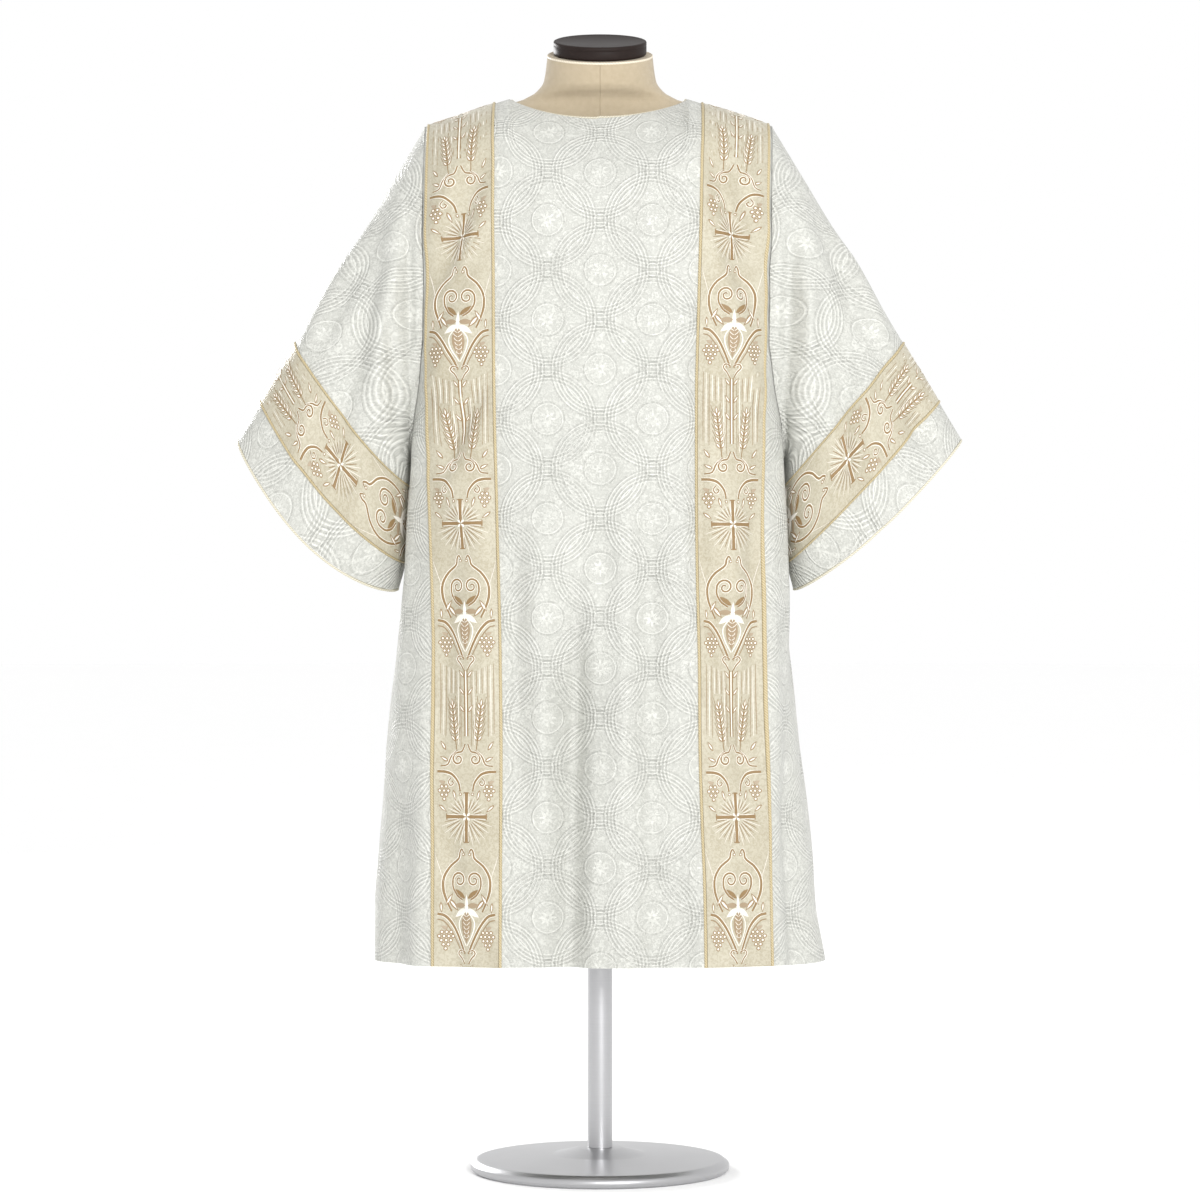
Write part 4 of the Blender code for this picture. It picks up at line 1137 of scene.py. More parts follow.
END_MARGIN = 0.6
STROKE_SHARES = np.array((-0.5, -0.2, 0.2, 0.5))
LEAF_SHARES = np.array((-1.0, -0.5, 0.0, 0.5, 1.0))
BERRY_RINGS = np.array((1.0, 0.7, 0.05))
# The cream lines along a lit stroke are painted highlights: their gap from it and their widths
HIGHLIGHT_GAP = 0.6
HIGHLIGHT_WIDTHS = (0.3, 0.75, 0.75, 0.3)
RAY_WIDTHS = (0.5, 0.85, 0.4)
# Outlined leaves: base, tip and half width
LYRE_LEAVES = (
    ((27, -104), (13, -119), 3.4),
    ((31, -112), (21.5, -97), 2.8),
    ((37, -108), (36, -122), 2.0),
)
EAR_LEAVES = (
    ((26, -302), (38, -296), 2.4),
    ((30, -288), (38, -276), 2.4),
)
HOOK_LEAVES = (
    ((19, -338), (15, -352), 2.2),
    ((39, -357), (28, -366), 2.2),
)
# Plain petals: base, tip, half width, tone, fullness, rows, lift and halves
LYRE_PETALS = (
    ((2, -103), (22, -91), 3.8, 0.0, 0.8, 9, 0.3, 1),
    ((1.5, -112), (20, -112), 3.4, 0.12, 0.8, 9, 0.3, 1),
    ((1.5, -116), (18, -127), 3.6, 0.80, 0.8, 9, 0.3, 1),
    ((0, -124), (0, -98), 2.6, 0.85, 0.8, 9, 0.5, 2),
    ((0, -120), (0, -160), 7.6, 0.10, 0.75, 14, 0.3, 2),
)


def smooth_line(knots, count):
    """A curve through a few knots (Catmull-Rom), as COUNT points."""
    knots = np.array(knots, dtype=float)
    padded = np.concatenate((2 * knots[:1] - knots[1:2], knots, 2 * knots[-1:] - knots[-2:-1]))
    place = np.linspace(0, len(knots) - 1 - 1e-9, count)
    part = place.astype(int)
    t = (place - part)[:, None]
    a, b, c, d = (padded[part + k] for k in range(4))
    return 0.5 * (2 * b + (c - a) * t + (2 * a - 5 * b + 4 * c - d) * t**2 + (3 * b - a - 3 * c + d) * t**3)


def spiral(centre, radii, angles, count):
    """A spiral about a centre, its radius and angle (in turns) running evenly from start to end."""
    radius = np.linspace(*radii, count)
    angle = np.linspace(*angles, count) * 2 * math.pi
    return np.stack((centre[0] + radius * np.cos(angle), centre[1] + radius * np.sin(angle)), axis=-1)


def spread(line, widths):
    """The width of a thread at every point of its line, and the line's unit normals in the plane."""
    share = np.linspace(0, 1, len(line))
    width = THREAD_FULLNESS * np.interp(share, np.linspace(0, 1, len(widths)), widths)
    along = unit(np.gradient(line, axis=0))
    return width, np.stack((-along[:, 1], along[:, 0]), axis=-1)


def mark(flat, height, tone, halves):
    """One mark in a list: its grid of (s, t, lift), its tone, and 2 where it has no mirror image, else 1."""
    height = np.broadcast_to(height, flat.shape[:2])
    return [(np.concatenate((flat, height[..., None]), axis=-1), tone, halves)]


def stroke(line, widths, tone, lift=0.28, halves=1):
    """A crowned ribbon along a line. Its widths lie evenly from the line's start to its end."""
    line = np.array(line, dtype=float)
    width, side = spread(line, widths)
    flat = line[:, None] + side[:, None] * (width[:, None] * STROKE_SHARES)[..., None]
    return mark(flat, np.array((0.0, lift, lift, 0.0)), tone, halves)


def bar(first, last, count, widths, tone, halves=1):
    """A straight ribbon of COUNT points."""
    return stroke(np.linspace(first, last, count), widths, tone, halves=halves)


def leaf(base, tip, half_width, tone, fullness=0.8, rows=9, lift=0.3, halves=1):
    """A leaf or grain from its base to its tip: half width a sine to a power, crowned along its middle."""
    base = np.array(base, dtype=float)
    along = np.array(tip, dtype=float) - base
    side = unit(np.array((-along[1], along[0])))
    part = np.linspace(0, 1, rows)
    half = half_width * np.sin(math.pi * part**fullness).clip(0)
    flat = base + along * part[:, None, None] + side * (half[:, None] * LEAF_SHARES)[..., None]
    return mark(flat, lift * (1 - LEAF_SHARES**2) * np.ones((rows, 1)), tone, halves)


def berry(centre, radius, tone, lift=0.45):
    """A round berry: rings of eight points, domed."""
    angle = np.linspace(0, 2 * math.pi, 9)
    rings = BERRY_RINGS[:, None]
    s = centre[0] + radius * rings * np.cos(angle)
    t = centre[1] + radius * rings * np.sin(angle)
    flat = np.stack((s, t), axis=-1)
    return mark(flat, lift * (1 - rings**2) + 0 * angle, tone, 1)


def lit_stroke(line, widths, halves=1):
    """A brown ribbon with a fine cream line along both its sides: the cream lines are painted highlights."""
    width, side = spread(line, widths)
    side = side * (width / 2 + HIGHLIGHT_GAP)[:, None]
    marks = stroke(line, widths, 0.0, halves=halves)
    for way in (1, -1):
        marks += stroke((line + side * way)[::2], HIGHLIGHT_WIDTHS, 1.0, 0.4, halves)
    return marks


def outlined_leaf(base, tip, half_width):
    """A cream leaf or grain that lies on a wider brown one."""
    base = np.array(base, dtype=float)
    along = np.array(tip, dtype=float) - base
    inner = leaf(base + along * 0.16, base + along * 0.86, half_width * 0.56, 1.0, lift=0.5)
    return leaf(base, base + along, half_width, 0.05) + inner


def outlined_berry(centre, radius):
    """A cream berry that lies on a wider brown one."""
    return berry(centre, radius, 0.05) + berry(centre, radius * 0.62, 1.0, 0.8)


def each(maker, rows):
    """The marks that a maker gives for every row of a table."""
    return [one for row in rows for one in maker(*row)]


def heading(degrees):
    """A unit step in a direction, in degrees from S."""
    return np.array((math.cos(math.radians(degrees)), math.sin(math.radians(degrees))))


def cross_marks():
    """The cross: four straight arms with a short bar at each end, and a small round blossom."""
    marks = []
    for tip, halves in (((28, 0), 1), ((0, 30), 2), ((0, -32), 2)):
        tip = np.array(tip, dtype=float)
        way = unit(tip)
        side = np.array((-way[1], way[0])) * 4.0
        marks += lit_stroke(np.linspace(way * 5, tip, 9), (3.4, 3.2, 3.7), halves)
        marks += bar(tip - side, tip + side, 4, (1.2, 2.0, 1.2), 0.0, halves)
    for turn in range(8):
        way = heading(45 * turn)
        marks += leaf(way, way * 6.8, 1.6, turn % 2, lift=0.6, halves=2)
    return marks


def ray_marks():
    """Rays that fan from the cross between its arms, alternately brown and cream."""
    marks = []
    for number, degrees in enumerate(range(-82, 85, 7)):
        if abs(degrees) < 10:
            continue
        way = heading(degrees)
        cream = number % 2
        reach = ((23, 28), (32, 38))[degrees < 0][cream]
        marks += bar(way * 11, way * reach, 4, RAY_WIDTHS, 0.75 * cream)
    return marks


def lyre_marks():
    """The lyre under the cross: a long outer bow with a curled head, an inner scroll, and vine leaves."""
    bow = ((4, -45), (7, -41), (10, -45.5), (12, -53), (25, -63))
    bow += ((33.5, -77), (34, -93), (29, -108), (23, -120))
    scroll = spiral((11, -80), (1.6, 10.5), (1.35, 0.0), 36)
    tail = smooth_line(((21.5, -80), (21, -89), (15, -99), (6, -105)), 14)
    rib = smooth_line(((0, -117), (11.0, -132), (9, -147), (0.6, -163)), 16)
    marks = lit_stroke(smooth_line(bow, 46), (1.0, 1.7, 2.2, 2.4, 1.6))
    marks += lit_stroke(np.concatenate((scroll, tail[1:])), (0.9, 1.5, 1.9, 1.3))
    marks += outlined_berry((4.6, -47.5), 2.2)
    marks += each(outlined_leaf, LYRE_LEAVES) + each(leaf, LYRE_PETALS)
    marks += stroke(rib, (0.9, 1.4, 0.9), 0.85)
    for step in range(6):
        place = -126 - step * 5.4
        vein = (0.5, place), (3.4, place + 2.0), (6.2 - step * 0.8, place + 4.2)
        marks += stroke(vein, (0.9, 0.7), 0.9, 0.5)
    for number in range(7):
        s, t = 34.0 + number * 1.3, -68.0 + number * 4.0
        marks += stroke(((s, t - 14.0), (s + 4.0, t)), (0.4, 0.8, 0.4), 0.75)
    return marks


def arch_marks():
    """Two arcs that fall from the band's edges to a point, each doubled, with a small knot under them."""
    arc = smooth_line(((41, -123), (31, -126), (20, -138), (10.5, -155), (2.6, -173)), 30)
    second = smooth_line(((41, -130), (33, -132.5), (24, -143), (14.5, -159), (7, -173)), 26)
    knot = smooth_line(((2.4, -171), (9, -168.5), (12.4, -173), (7, -179), (3, -186)), 18)
    marks = lit_stroke(arc, (2.4, 2.6, 2.3, 1.8)) + stroke(second, (1.0, 1.3, 1.1, 0.9), 0.05)
    return marks + lit_stroke(knot, (0.9, 1.4, 0.9))


def grape_marks(top, rows, lean):
    """A bunch of grapes hanging from a point: rows of berries, one narrower than the last."""
    marks = []
    for row, count in enumerate(rows):
        for number in range(count):
            s = top[0] + (number - (count - 1) / 2) * 5.9 + row * lean
            marks += outlined_berry((s, top[1] - row * 5.2), 2.9)
    stem = smooth_line(((top[0] - 1, top[1] + 7), (top[0], top[1] + 3.5), (top[0], top[1] + 1)), 6)
    marks += stroke(stem, (0.9, 0.9), 0.1)
    return marks + leaf((top[0] - 1, top[1] + 4), (top[0] + 7, top[1] + 7.5), 2.3, 0.2)


def ear_marks():
    """A central stalk, fine upright lines, and an ear of wheat on each side that grows from a scroll."""
    marks = bar((2.0, -186), (2.0, -270), 6, (1.3, 1.3), 0.0)
    marks += bar((0, -188), (0, -270), 6, (1.2, 1.2), 1.0, 2)
    for place in (-196, -218, -240):
        marks += outlined_leaf((2.4, place), (10, place + 10), 2.0)
    for number in range(9):
        s = 7.5 + number * 3.9
        low = -216.0 if 2 <= number <= 5 else -283.0 + 2.0 * number
        tone = 0.85 if number % 2 else 0.1
        marks += bar((s, -190.0 + 1.5 * number), (s, low), 5, (0.5, 0.95, 0.5), tone)
    foot, head = np.array((14.0, -288.0)), np.array((21.0, -232.0))
    along = unit(head - foot)
    side = np.array((along[1], -along[0]))
    marks += bar(foot, head, 8, (1.0, 1.0), 0.0)
    for number in range(6):
        base = foot + along * (12 + number * 8.0)
        for way in (1, -1):
            grain = along * 8.6 + side * way * (6.2 - 0.3 * number)
            marks += outlined_leaf(base + side * way * 0.6, base + grain, 2.3)
            marks += stroke((base + grain, base + grain * 1.4 + along * 5), (0.7, 0.4), 0.0)
    marks += outlined_leaf(head - along * 1, head + along * 10, 2.3)
    scroll = spiral((12.0, -299), (1.4, 8.4), (-1.1, 0.25), 30)
    tail = smooth_line(((12.0, -290.6), (6, -289), (2.0, -280)), 8)
    sweep = smooth_line(((13, -288), (22, -296), (27, -306), (37, -308)), 16)
    marks += lit_stroke(np.concatenate((scroll, tail[1:])), (0.9, 1.5, 1.8, 1.2))
    marks += lit_stroke(sweep, (1.0, 1.6, 1.0))
    return marks + each(outlined_leaf, EAR_LEAVES)


def hook_marks():
    """Arcs that reach in from the band's edges above the next cross and end in a drop, with curls."""
    hook = smooth_line(((41, -315), (30, -315.5), (20, -319), (11.5, -329), (9.0, -340)), 26)
    curl = smooth_line(((22, -323), (26, -328), (22.5, -333), (18.5, -329.5), (21, -327)), 14)
    marks = lit_stroke(hook, (2.4, 2.6, 2.0, 1.4)) + outlined_berry((8.6, -343.5), 2.2)
    return marks + lit_stroke(curl, (0.8, 1.3, 0.8)) + each(outlined_leaf, HOOK_LEAVES)


def repeat_marks():
    """All the marks of one repeat. Each ends in 1 where its mirror image is drawn too, and 2 where not."""
    marks = cross_marks() + ray_marks() + lyre_marks() + arch_marks()
    marks += grape_marks((29.5, -146), (3, 4, 3, 2, 1), 0.3)
    marks += ear_marks() + hook_marks()
    return marks + grape_marks((32, -334), (2, 3, 2, 1), -0.2)


def figure_arrays(length, first_cross, repeat):
    """The marks of a whole band, with every repeat and both halves: points (s, t, lift), their tones, and
    the faces. Faces past either end of the band are dropped."""
    points, tones, faces = [], [], []
    total = 0
    for marks, tone, halves in repeat_marks():
        rows, count = marks.shape[:2]
        rows_at, columns_at = grid_quads(rows, count, False)
        quads = rows_at * count + columns_at
        for side in (1.0,) if halves == 2 else (1.0, -1.0):
            for number in range(int(length / repeat) + 3):
                placed = marks * (side, 1.0, 1.0) + (0.0, first_cross + number * repeat, 0.0)
                flat = placed.reshape(-1, 3)
                inside = (flat[:, 1] > END_MARGIN) & (flat[:, 1] < length - END_MARGIN)
                chosen = quads[np.all(inside[quads], axis=1)]
                if len(chosen):
                    points.append(flat)
                    tones.append(np.full(len(flat), tone))
                    faces.append(total + chosen)
                    total += len(flat)
    used, faces = np.unique(np.concatenate(faces), return_inverse=True)
    return np.concatenate(points)[used], np.concatenate(tones)[used], faces.reshape(-1, 4)


def sample(grid, row, column):
    """Values of a grid between its lines, from the four around each place."""
    i = np.clip(row.astype(int), 0, grid.shape[0] - 2)
    j = np.clip(column.astype(int), 0, grid.shape[1] - 2)
    p = (row - i)[:, None]
    q = (column - j)[:, None]
    low = grid[i, j] * (1 - q) + grid[i, j + 1] * q
    high = grid[i + 1, j] * (1 - q) + grid[i + 1, j + 1] * q
    return low * (1 - p) + high * p


def lay_figure(name, skin, normals, first_cross, repeat):
    """The figure laid on a band. SKIN's rows run along the band from its lower end, and its columns across.
    A point's row comes from its distance along the band's middle, and its faces are turned to face out."""
    rows, count = skin.shape[:2]
    middle = run(skin, 0)[:, count // 2] * 1000
    width = float(np.median(run(skin, 1)[:, -1])) * 1000
    flat, tones, faces = figure_arrays(middle[-1], first_cross * 1000, repeat * 1000)
    row = np.interp(flat[:, 1], middle, np.arange(rows))
    column = np.clip((flat[:, 0] / width + 0.5) * (count - 1), 0.0, count - 1.0)
    normal = unit(sample(normals, row, column))
    points = sample(skin, row, column) + normal * (THREAD_LIFT + flat[:, 2:] / 1000)
    a, b, c, d = (points[faces[:, k]] for k in range(4))
    turned = np.sum(np.cross(c - a, d - b) * normal[faces[:, 0]], axis=-1) < 0
    faces[turned] = faces[turned][:, ::-1]
    return add_mesh(name, points, faces, tone=tones)


# ---------------------------------------------------------------- sizes and colours


def metres(name, description, default):
    """A length, in metres."""
    return FloatProperty(name=name, description=description, default=default, unit="LENGTH")


def colour(name, description, default):
    """A colour: linear red, green and blue, from 0 to 1."""
    look = {"size": 3, "subtype": "COLOR", "min": 0, "max": 1}
    return FloatVectorProperty(name=name, description=description, default=default, **look)


class ClothSettings(bpy.types.PropertyGroup):
    """Damask: the size of its figure and its colours."""

    figure_width: metres("Figure width", "Between neighbouring circles", 0.133)
    figure_height: metres("Figure height", "Between a circle and the one above it", 0.126)
    line_pitch: metres("Line pitch", "From one line of a circle to the next", 0.0044)
    leaf_size: metres("Leaf size", "Size of the small marks in the ground", 0.0042)
    relief: metres("Relief", "How far the figure stands up", 0.0004)
    # The figure is the lighter colour. Its share carries the lines' painted highlight and sheen as well as
    # the ground's leafy marks.
    ground: colour("Ground", "Damask ground", (0.380, 0.382, 0.350))
    figure: colour("Figure", "Damask figure", (0.695, 0.697, 0.650))


class BandSettings(bpy.types.PropertyGroup):
    """Woven bands: the repeat, the rib and the colours."""

    repeat: metres("Repeat", "From one cross to the next", 0.372)
    front_cross: metres("First cross", "Above the hem", 0.190)
    sleeve_cross: metres("First sleeve cross", "Up the front of a sleeve band", 0.150)
    rib: metres("Rib", "Width of a rib of the satin", 0.0012)
    stroke: metres("Stroke", "Size of the small strokes woven in the ground", 0.0036)
    # Ground and ground shade are lit and shaded copies of the satin. The shade colour is painted shade
    # between the ribs, the dull side of the painted sheen, and the woven strokes' colour.
    ground: colour("Ground", "Satin in light", (0.510, 0.478, 0.378))
    ground_shade: colour("Ground shade", "Satin in its ribs", (0.370, 0.328, 0.232))
    figure_dark: colour("Dark thread", "Gold-brown thread", (0.215, 0.125, 0.035))
    # The light thread is cream thread, and also the painted highlight lines beside the brown strokes.
    figure_light: colour("Light thread", "Cream thread", (0.86, 0.83, 0.76))


class TrimSettings(bpy.types.PropertyGroup):
    """Piping, edging and binding: twist and colours."""

    turn: metres("Twist", "Length of one ridge of the cord", 0.0035)
    relief: metres("Relief", "Depth between the ridges", 0.0004)
    # Each shade colour is painted shade between a cord's ridges.
    piping: colour("Piping", "Pale gold cord", (0.56, 0.475, 0.29))
    piping_shade: colour("Piping shade", "Between its ridges", (0.38, 0.30, 0.16))
    edging: colour("Edging", "Neck and cuff edging", (0.66, 0.63, 0.52))
    edging_shade: colour("Edging shade", "Between its ridges", (0.52, 0.48, 0.36))


class FormSettings(bpy.types.PropertyGroup):
    """Dress form and stand: linen, cap and metal."""

    linen_thread: metres("Thread", "From one thread to the next", 0.0014)
    # Linen and linen shade are lit and shaded copies. The shade colour is painted shade between threads, and
    # also the slubs' darker tone and the seam's colour.
    linen: colour("Linen", "Linen in light", (0.53, 0.445, 0.315))
    linen_shade: colour("Linen shade", "Between threads", (0.32, 0.25, 0.155))
    neck_edge: colour("Neck tape", "Rolled tape under the cap", (0.80, 0.72, 0.57))
    cap: colour("Cap", "Dark lacquer", (0.012, 0.008, 0.007))
    steel: colour("Steel", "Pole and base", (0.52, 0.52, 0.53))


class StageSettings(bpy.types.PropertyGroup):
    """Floor, lights and camera."""

    floor: colour("Floor", "Floor paper", (1.0, 1.0, 1.0))
    key: FloatProperty(name="Key light", description="From the front right, in watts", default=190.0)
    back: FloatProperty(name="Back light", description="From behind on the left, in watts", default=150.0)
    world: FloatProperty(name="Surroundings", description="Strength of the pale surroundings", default=1.0)
    distance: metres("Camera distance", "In front of the garment", 5.0)
    height: metres("Camera height", "Above the floor", 0.741)
    lens: FloatProperty(name="Lens", description="Focal length in millimetres", default=115.4)


# ---------------------------------------------------------------- operators


def strip_columns(across, side):
    """First and last column of a band on a panel, on the wearer's right or left."""
    piping = PIPING_WIDTH / BAND_WIDTH
    place = across if side == "left" else -across
    inside = np.flatnonzero((place > 1 + piping - TOLERANCE) & (place < 2 - piping + TOLERANCE))
    return inside[0], inside[-1]


def strip_rows(reach):
    """First and last ring of a sleeve's band."""
    inside = np.flatnonzero((reach > BAND_UPPER - TOLERANCE) & (reach < BAND_LOWER + TOLERANCE))
    return inside[0], inside[-1]


def add_band(tail, node, finishes, skin, out, uv, cross, repeat, closed=False, flipped=False):
    """A band of satin on a strip of cloth, OUT its normals, and the woven figure on it. A closed band is a
    ring round a sleeve, and its figure runs round it."""
    satin, thread = finishes
    lower = skin + out * TRIM_GAP
    upper = lower + out * BAND_WALL
    made = add_wall(f"woven_band_{tail}", upper, lower, uv, closed, flipped)
    dress_piece(made, satin, "woven_band", node)
    if closed:
        grids = (np.concatenate((grid, grid[:, :1]), axis=1) for grid in (upper, out))
        upper, out = (grid.transpose(1, 0, 2) for grid in grids)
    dress_piece(lay_figure(f"band_figure_{tail}", upper, out, cross, repeat), thread, "woven_band")


def add_piping(tail, node, finish, pair, normals, closed):
    """A piping between two neighbouring grid lines of the cloth, given as a pair with their normals."""
    made = add_bar(f"piping_cord_{tail}", piping_sections(*pair, *normals), closed)
    dress_piece(made, finish, "gold_piping", node)


class DALMATIC_OT_panels(bpy.types.Operator):
    """Front and back panels: damask walls on the garment's own grid."""

    bl_idname = "dalmatic.panels"
    bl_label = "Front and Back"

    def execute(self, context):
        finish = damask_material(context.scene.dalmatic_cloth)
        for face in FACES:
            _, _, points, normals, uv = fine_cloth(face == "front")
            made = add_wall(f"{face}_cloth", points, points - normals * WALL, uv)
            dress_piece(made, finish, "ivory_damask", f"{face}_panel")
        return {"FINISHED"}


class DALMATIC_OT_sleeves(bpy.types.Operator):
    """Sleeves: damask tubes from the armholes out to the cuffs."""

    bl_idname = "dalmatic.sleeves"
    bl_label = "Sleeves"

    def execute(self, context):
        finish = damask_material(context.scene.dalmatic_cloth)
        for side in SIDES:
            _, points, normals, uv, flipped = fine_tube(side == "left")
            made = add_wall(f"sleeve_cloth_{side}", points, points - normals * WALL, uv, True, flipped)
            dress_piece(made, finish, "ivory_damask", f"sleeve_{side}")
        return {"FINISHED"}


class DALMATIC_OT_vertical_bands(bpy.types.Operator):
    """Vertical bands: a satin strip on each half of each panel, and the woven figure on it."""

    bl_idname = "dalmatic.vertical_bands"
    bl_label = "Vertical Bands"

    def execute(self, context):
        settings = context.scene.dalmatic_band
        finishes = band_material(settings), thread_material(settings)
        for face in FACES:
            across, _, points, normals, _ = fine_cloth(face == "front")
            for side in SIDES:
                first, last = strip_columns(across, side)
                skin, out = points[:, first : last + 1], normals[:, first : last + 1]
                uv = np.stack((run(skin, 1), run(skin, 0)), axis=-1)
                tail = f"{face}_{side}"
                place = (skin, out, uv)
                add_band(tail, f"band_{tail}", finishes, *place, settings.front_cross, settings.repeat)
        return {"FINISHED"}


class DALMATIC_OT_sleeve_bands(bpy.types.Operator):
    """Sleeve bands: a satin ring round each sleeve, and the woven figure on it."""

    bl_idname = "dalmatic.sleeve_bands"
    bl_label = "Sleeve Bands"

    def execute(self, context):
        settings = context.scene.dalmatic_band
        finishes = band_material(settings), thread_material(settings)
        sizes = settings.sleeve_cross, settings.repeat
        for side in SIDES:
            reach, points, normals, _, flipped = fine_tube(side == "left")
            first, last = strip_rows(reach)
            skin, out = points[first : last + 1], normals[first : last + 1]
            ring = np.concatenate((skin, skin[:, :1]), axis=1)
            uv = np.stack((run(ring, 0), run(ring, 1)), axis=-1)
            add_band(f"sleeve_{side}", f"sleeve_band_{side}", finishes, skin, out, uv, *sizes, True, flipped)
        return {"FINISHED"}


class DALMATIC_OT_piping(bpy.types.Operator):
    """Piping: a rounded cord along both edges of every band."""

    bl_idname = "dalmatic.piping"
    bl_label = "Piping"

    def execute(self, context):
        trim = context.scene.dalmatic_trim
        cord = cord_material("pale_gold_cord", trim.piping, trim.piping_shade, trim.turn, trim.relief)
        for face in FACES:
            across, _, points, normals, _ = fine_cloth(face == "front")
            for side in SIDES:
                first, last = strip_columns(across, side)
                for column in (first - 1, last):
                    pair = slice(column, column + 2)
                    edge = "outer" if np.abs(across[pair]).max() > BAND_MIDDLE else "inner"
                    lines, out = points[:, pair].swapaxes(0, 1), normals[:, pair].swapaxes(0, 1)
                    tail = f"{face}_{side}_{edge}"
                    add_piping(tail, f"piping_{tail}", cord, lines, out, False)
        for side in SIDES:
            reach, points, normals, _, _ = fine_tube(side == "left")
            first, last = strip_rows(reach)
            for edge, row in (("upper", first - 1), ("lower", last)):
                rings, out = points[row : row + 2], normals[row : row + 2]
                add_piping(f"sleeve_{side}_{edge}", f"sleeve_piping_{side}_{edge}", cord, rings, out, True)
        return {"FINISHED"}


class DALMATIC_OT_edgings(bpy.types.Operator):
    """Edgings: a fine corded binding round the neck and round each cuff."""

    bl_idname = "dalmatic.edgings"
    bl_label = "Neck and Cuff Edgings"

    def execute(self, context):
        trim = context.scene.dalmatic_trim
        cord = cord_material("cream_edging", trim.edging, trim.edging_shade, trim.turn, trim.relief)
        for side in SIDES:
            _, points, normals, _, _ = fine_tube(side == "left")
            rim = points[-1]
            along = unit(np.roll(rim, -1, axis=0) - np.roll(rim, 1, axis=0))
            down = rim - points[-2]
            down = unit(down - along * np.sum(down * along, axis=-1, keepdims=True))
            made = add_bar(f"cuff_edge_{side}", edging_sections(rim, normals[-1], down), True)
            dress_piece(made, cord, "gold_piping", f"cuff_edging_{side}")
        rims, outs = [], []
        for front in (True, False):
            across, _, points, normals, _ = fine_cloth(front)
            # The back's two ends are the front's, at the seams, so they are left out
            inside = np.flatnonzero(np.abs(across) < NECK_SHARE + TOLERANCE)
            inside = inside if front else inside[1:-1]
            rims.append(points[-1, inside])
            outs.append(normals[-1, inside])
        rim, out = np.concatenate(rims), np.concatenate(outs)
        rim[[0, len(rims[0]) - 1], 1] = 0
        up = unit(np.cross(out, np.roll(rim, -1, axis=0) - np.roll(rim, 1, axis=0)))
        made = add_bar("neck_edge", edging_sections(rim, out, up), True)
        dress_piece(made, cord, "gold_piping", "neck_binding")
        return {"FINISHED"}


class DALMATIC_OT_dress_form(bpy.types.Operator):
    """Dress form: the linen body and neck, the tape round its top, and the dark cap."""

    bl_idname = "dalmatic.dress_form"
    bl_label = "Dress Form"

    def execute(self, context):
        settings = context.scene.dalmatic_form
        low, high = FORM["height"][[0, -1]]
        share = np.linspace(0, 1, FORM_RINGS)
        levels = np.interp(share, FORM_SHARES, (low, low + FORM_FOOT, FORM_CHEST, high))
        sizes = {name: through(levels, FORM["height"], FORM[name]) for name in FORM_COLUMNS[1:]}
        # The shoulders slope straight and a little lower, so that they stay clear of the cloth over them
        sloping = (levels > FORM_SHOULDER[0]) & (levels < FORM_SHOULDER[1])
        straight = np.interp(levels, FORM["height"], FORM["half_width"]) - SHOULDER_EASE
        sizes["half_width"] = np.where(sloping, straight, sizes["half_width"])
        rings = []
        for level, *size, tilt in zip(levels, *sizes.values()):
            x, y = superellipse(FORM_AROUND, *size)
            rings.append(np.stack((x, y, level + tilt * y), axis=-1))
        body = add_loft("dress_form_body", np.array(rings))
        dress_piece(body, linen_material(settings), "linen", "form_torso")
        top = rings[-1]
        outwards = unit(top - top.mean(axis=0))
        angle = np.arange(EDGING_SIDES) * 2 * math.pi / EDGING_SIDES
        aside = outwards[:, None] * (np.cos(angle) * TAPE_OUT)[None, :, None]
        rise = np.array((0.0, 0.0, 1.0)) * (np.sin(angle) * TAPE_HEIGHT - TAPE_HEIGHT)[None, :, None]
        tape = add_bar("neck_tape", (top - outwards * TAPE_SEAT)[:, None] + aside + rise, True)
        # A darker copy of the tape's colour, painted shade between its ridges.
        shade = tuple(part * TAPE_SHADE for part in settings.neck_edge)
        tape_finish = cord_material("cream_neck_tape", settings.neck_edge, shade, TAPE_TURN, TAPE_RELIEF)
        dress_piece(tape, tape_finish, "linen")
        base = FORM["height"][-1] + SEAM_GAP
        rings = turned_rings(CAP_PROFILE, CAP_AROUND, CAP_DEPTH, FORM["tilt"][-1], base)
        dress_piece(add_loft("dress_form_cap", rings), cap_material(settings), "dark_cap", "form_cap")
        return {"FINISHED"}


class DALMATIC_OT_stand(bpy.types.Operator):
    """Stand: the pole under the form and the round base."""

    bl_idname = "dalmatic.stand"
    bl_label = "Stand"

    def execute(self, context):
        steel = steel_material(context.scene.dalmatic_form)
        steps = np.hypot(np.diff(BASE["radius"]), np.diff(BASE["height"]))
        walked = np.concatenate(((0.0,), np.cumsum(steps)))
        share = np.linspace(0, 1, BASE_RINGS)
        profile = [np.interp(share * walked[-1], walked, BASE[name]) for name in BASE_COLUMNS]
        foot = add_loft("stand_foot", turned_rings(np.transpose(profile), STAND_AROUND))
        dress_piece(foot, steel, "stand_metal", "stand_base")
        ends = (BASE_TOP + SEAM_GAP, FORM["height"][0] - SEAM_GAP)
        pole = add_loft("stand_tube", turned_rings([(POLE_RADIUS, end) for end in ends], STAND_AROUND))
        dress_piece(pole, steel, "stand_metal", "stand_pole")
        return {"FINISHED"}


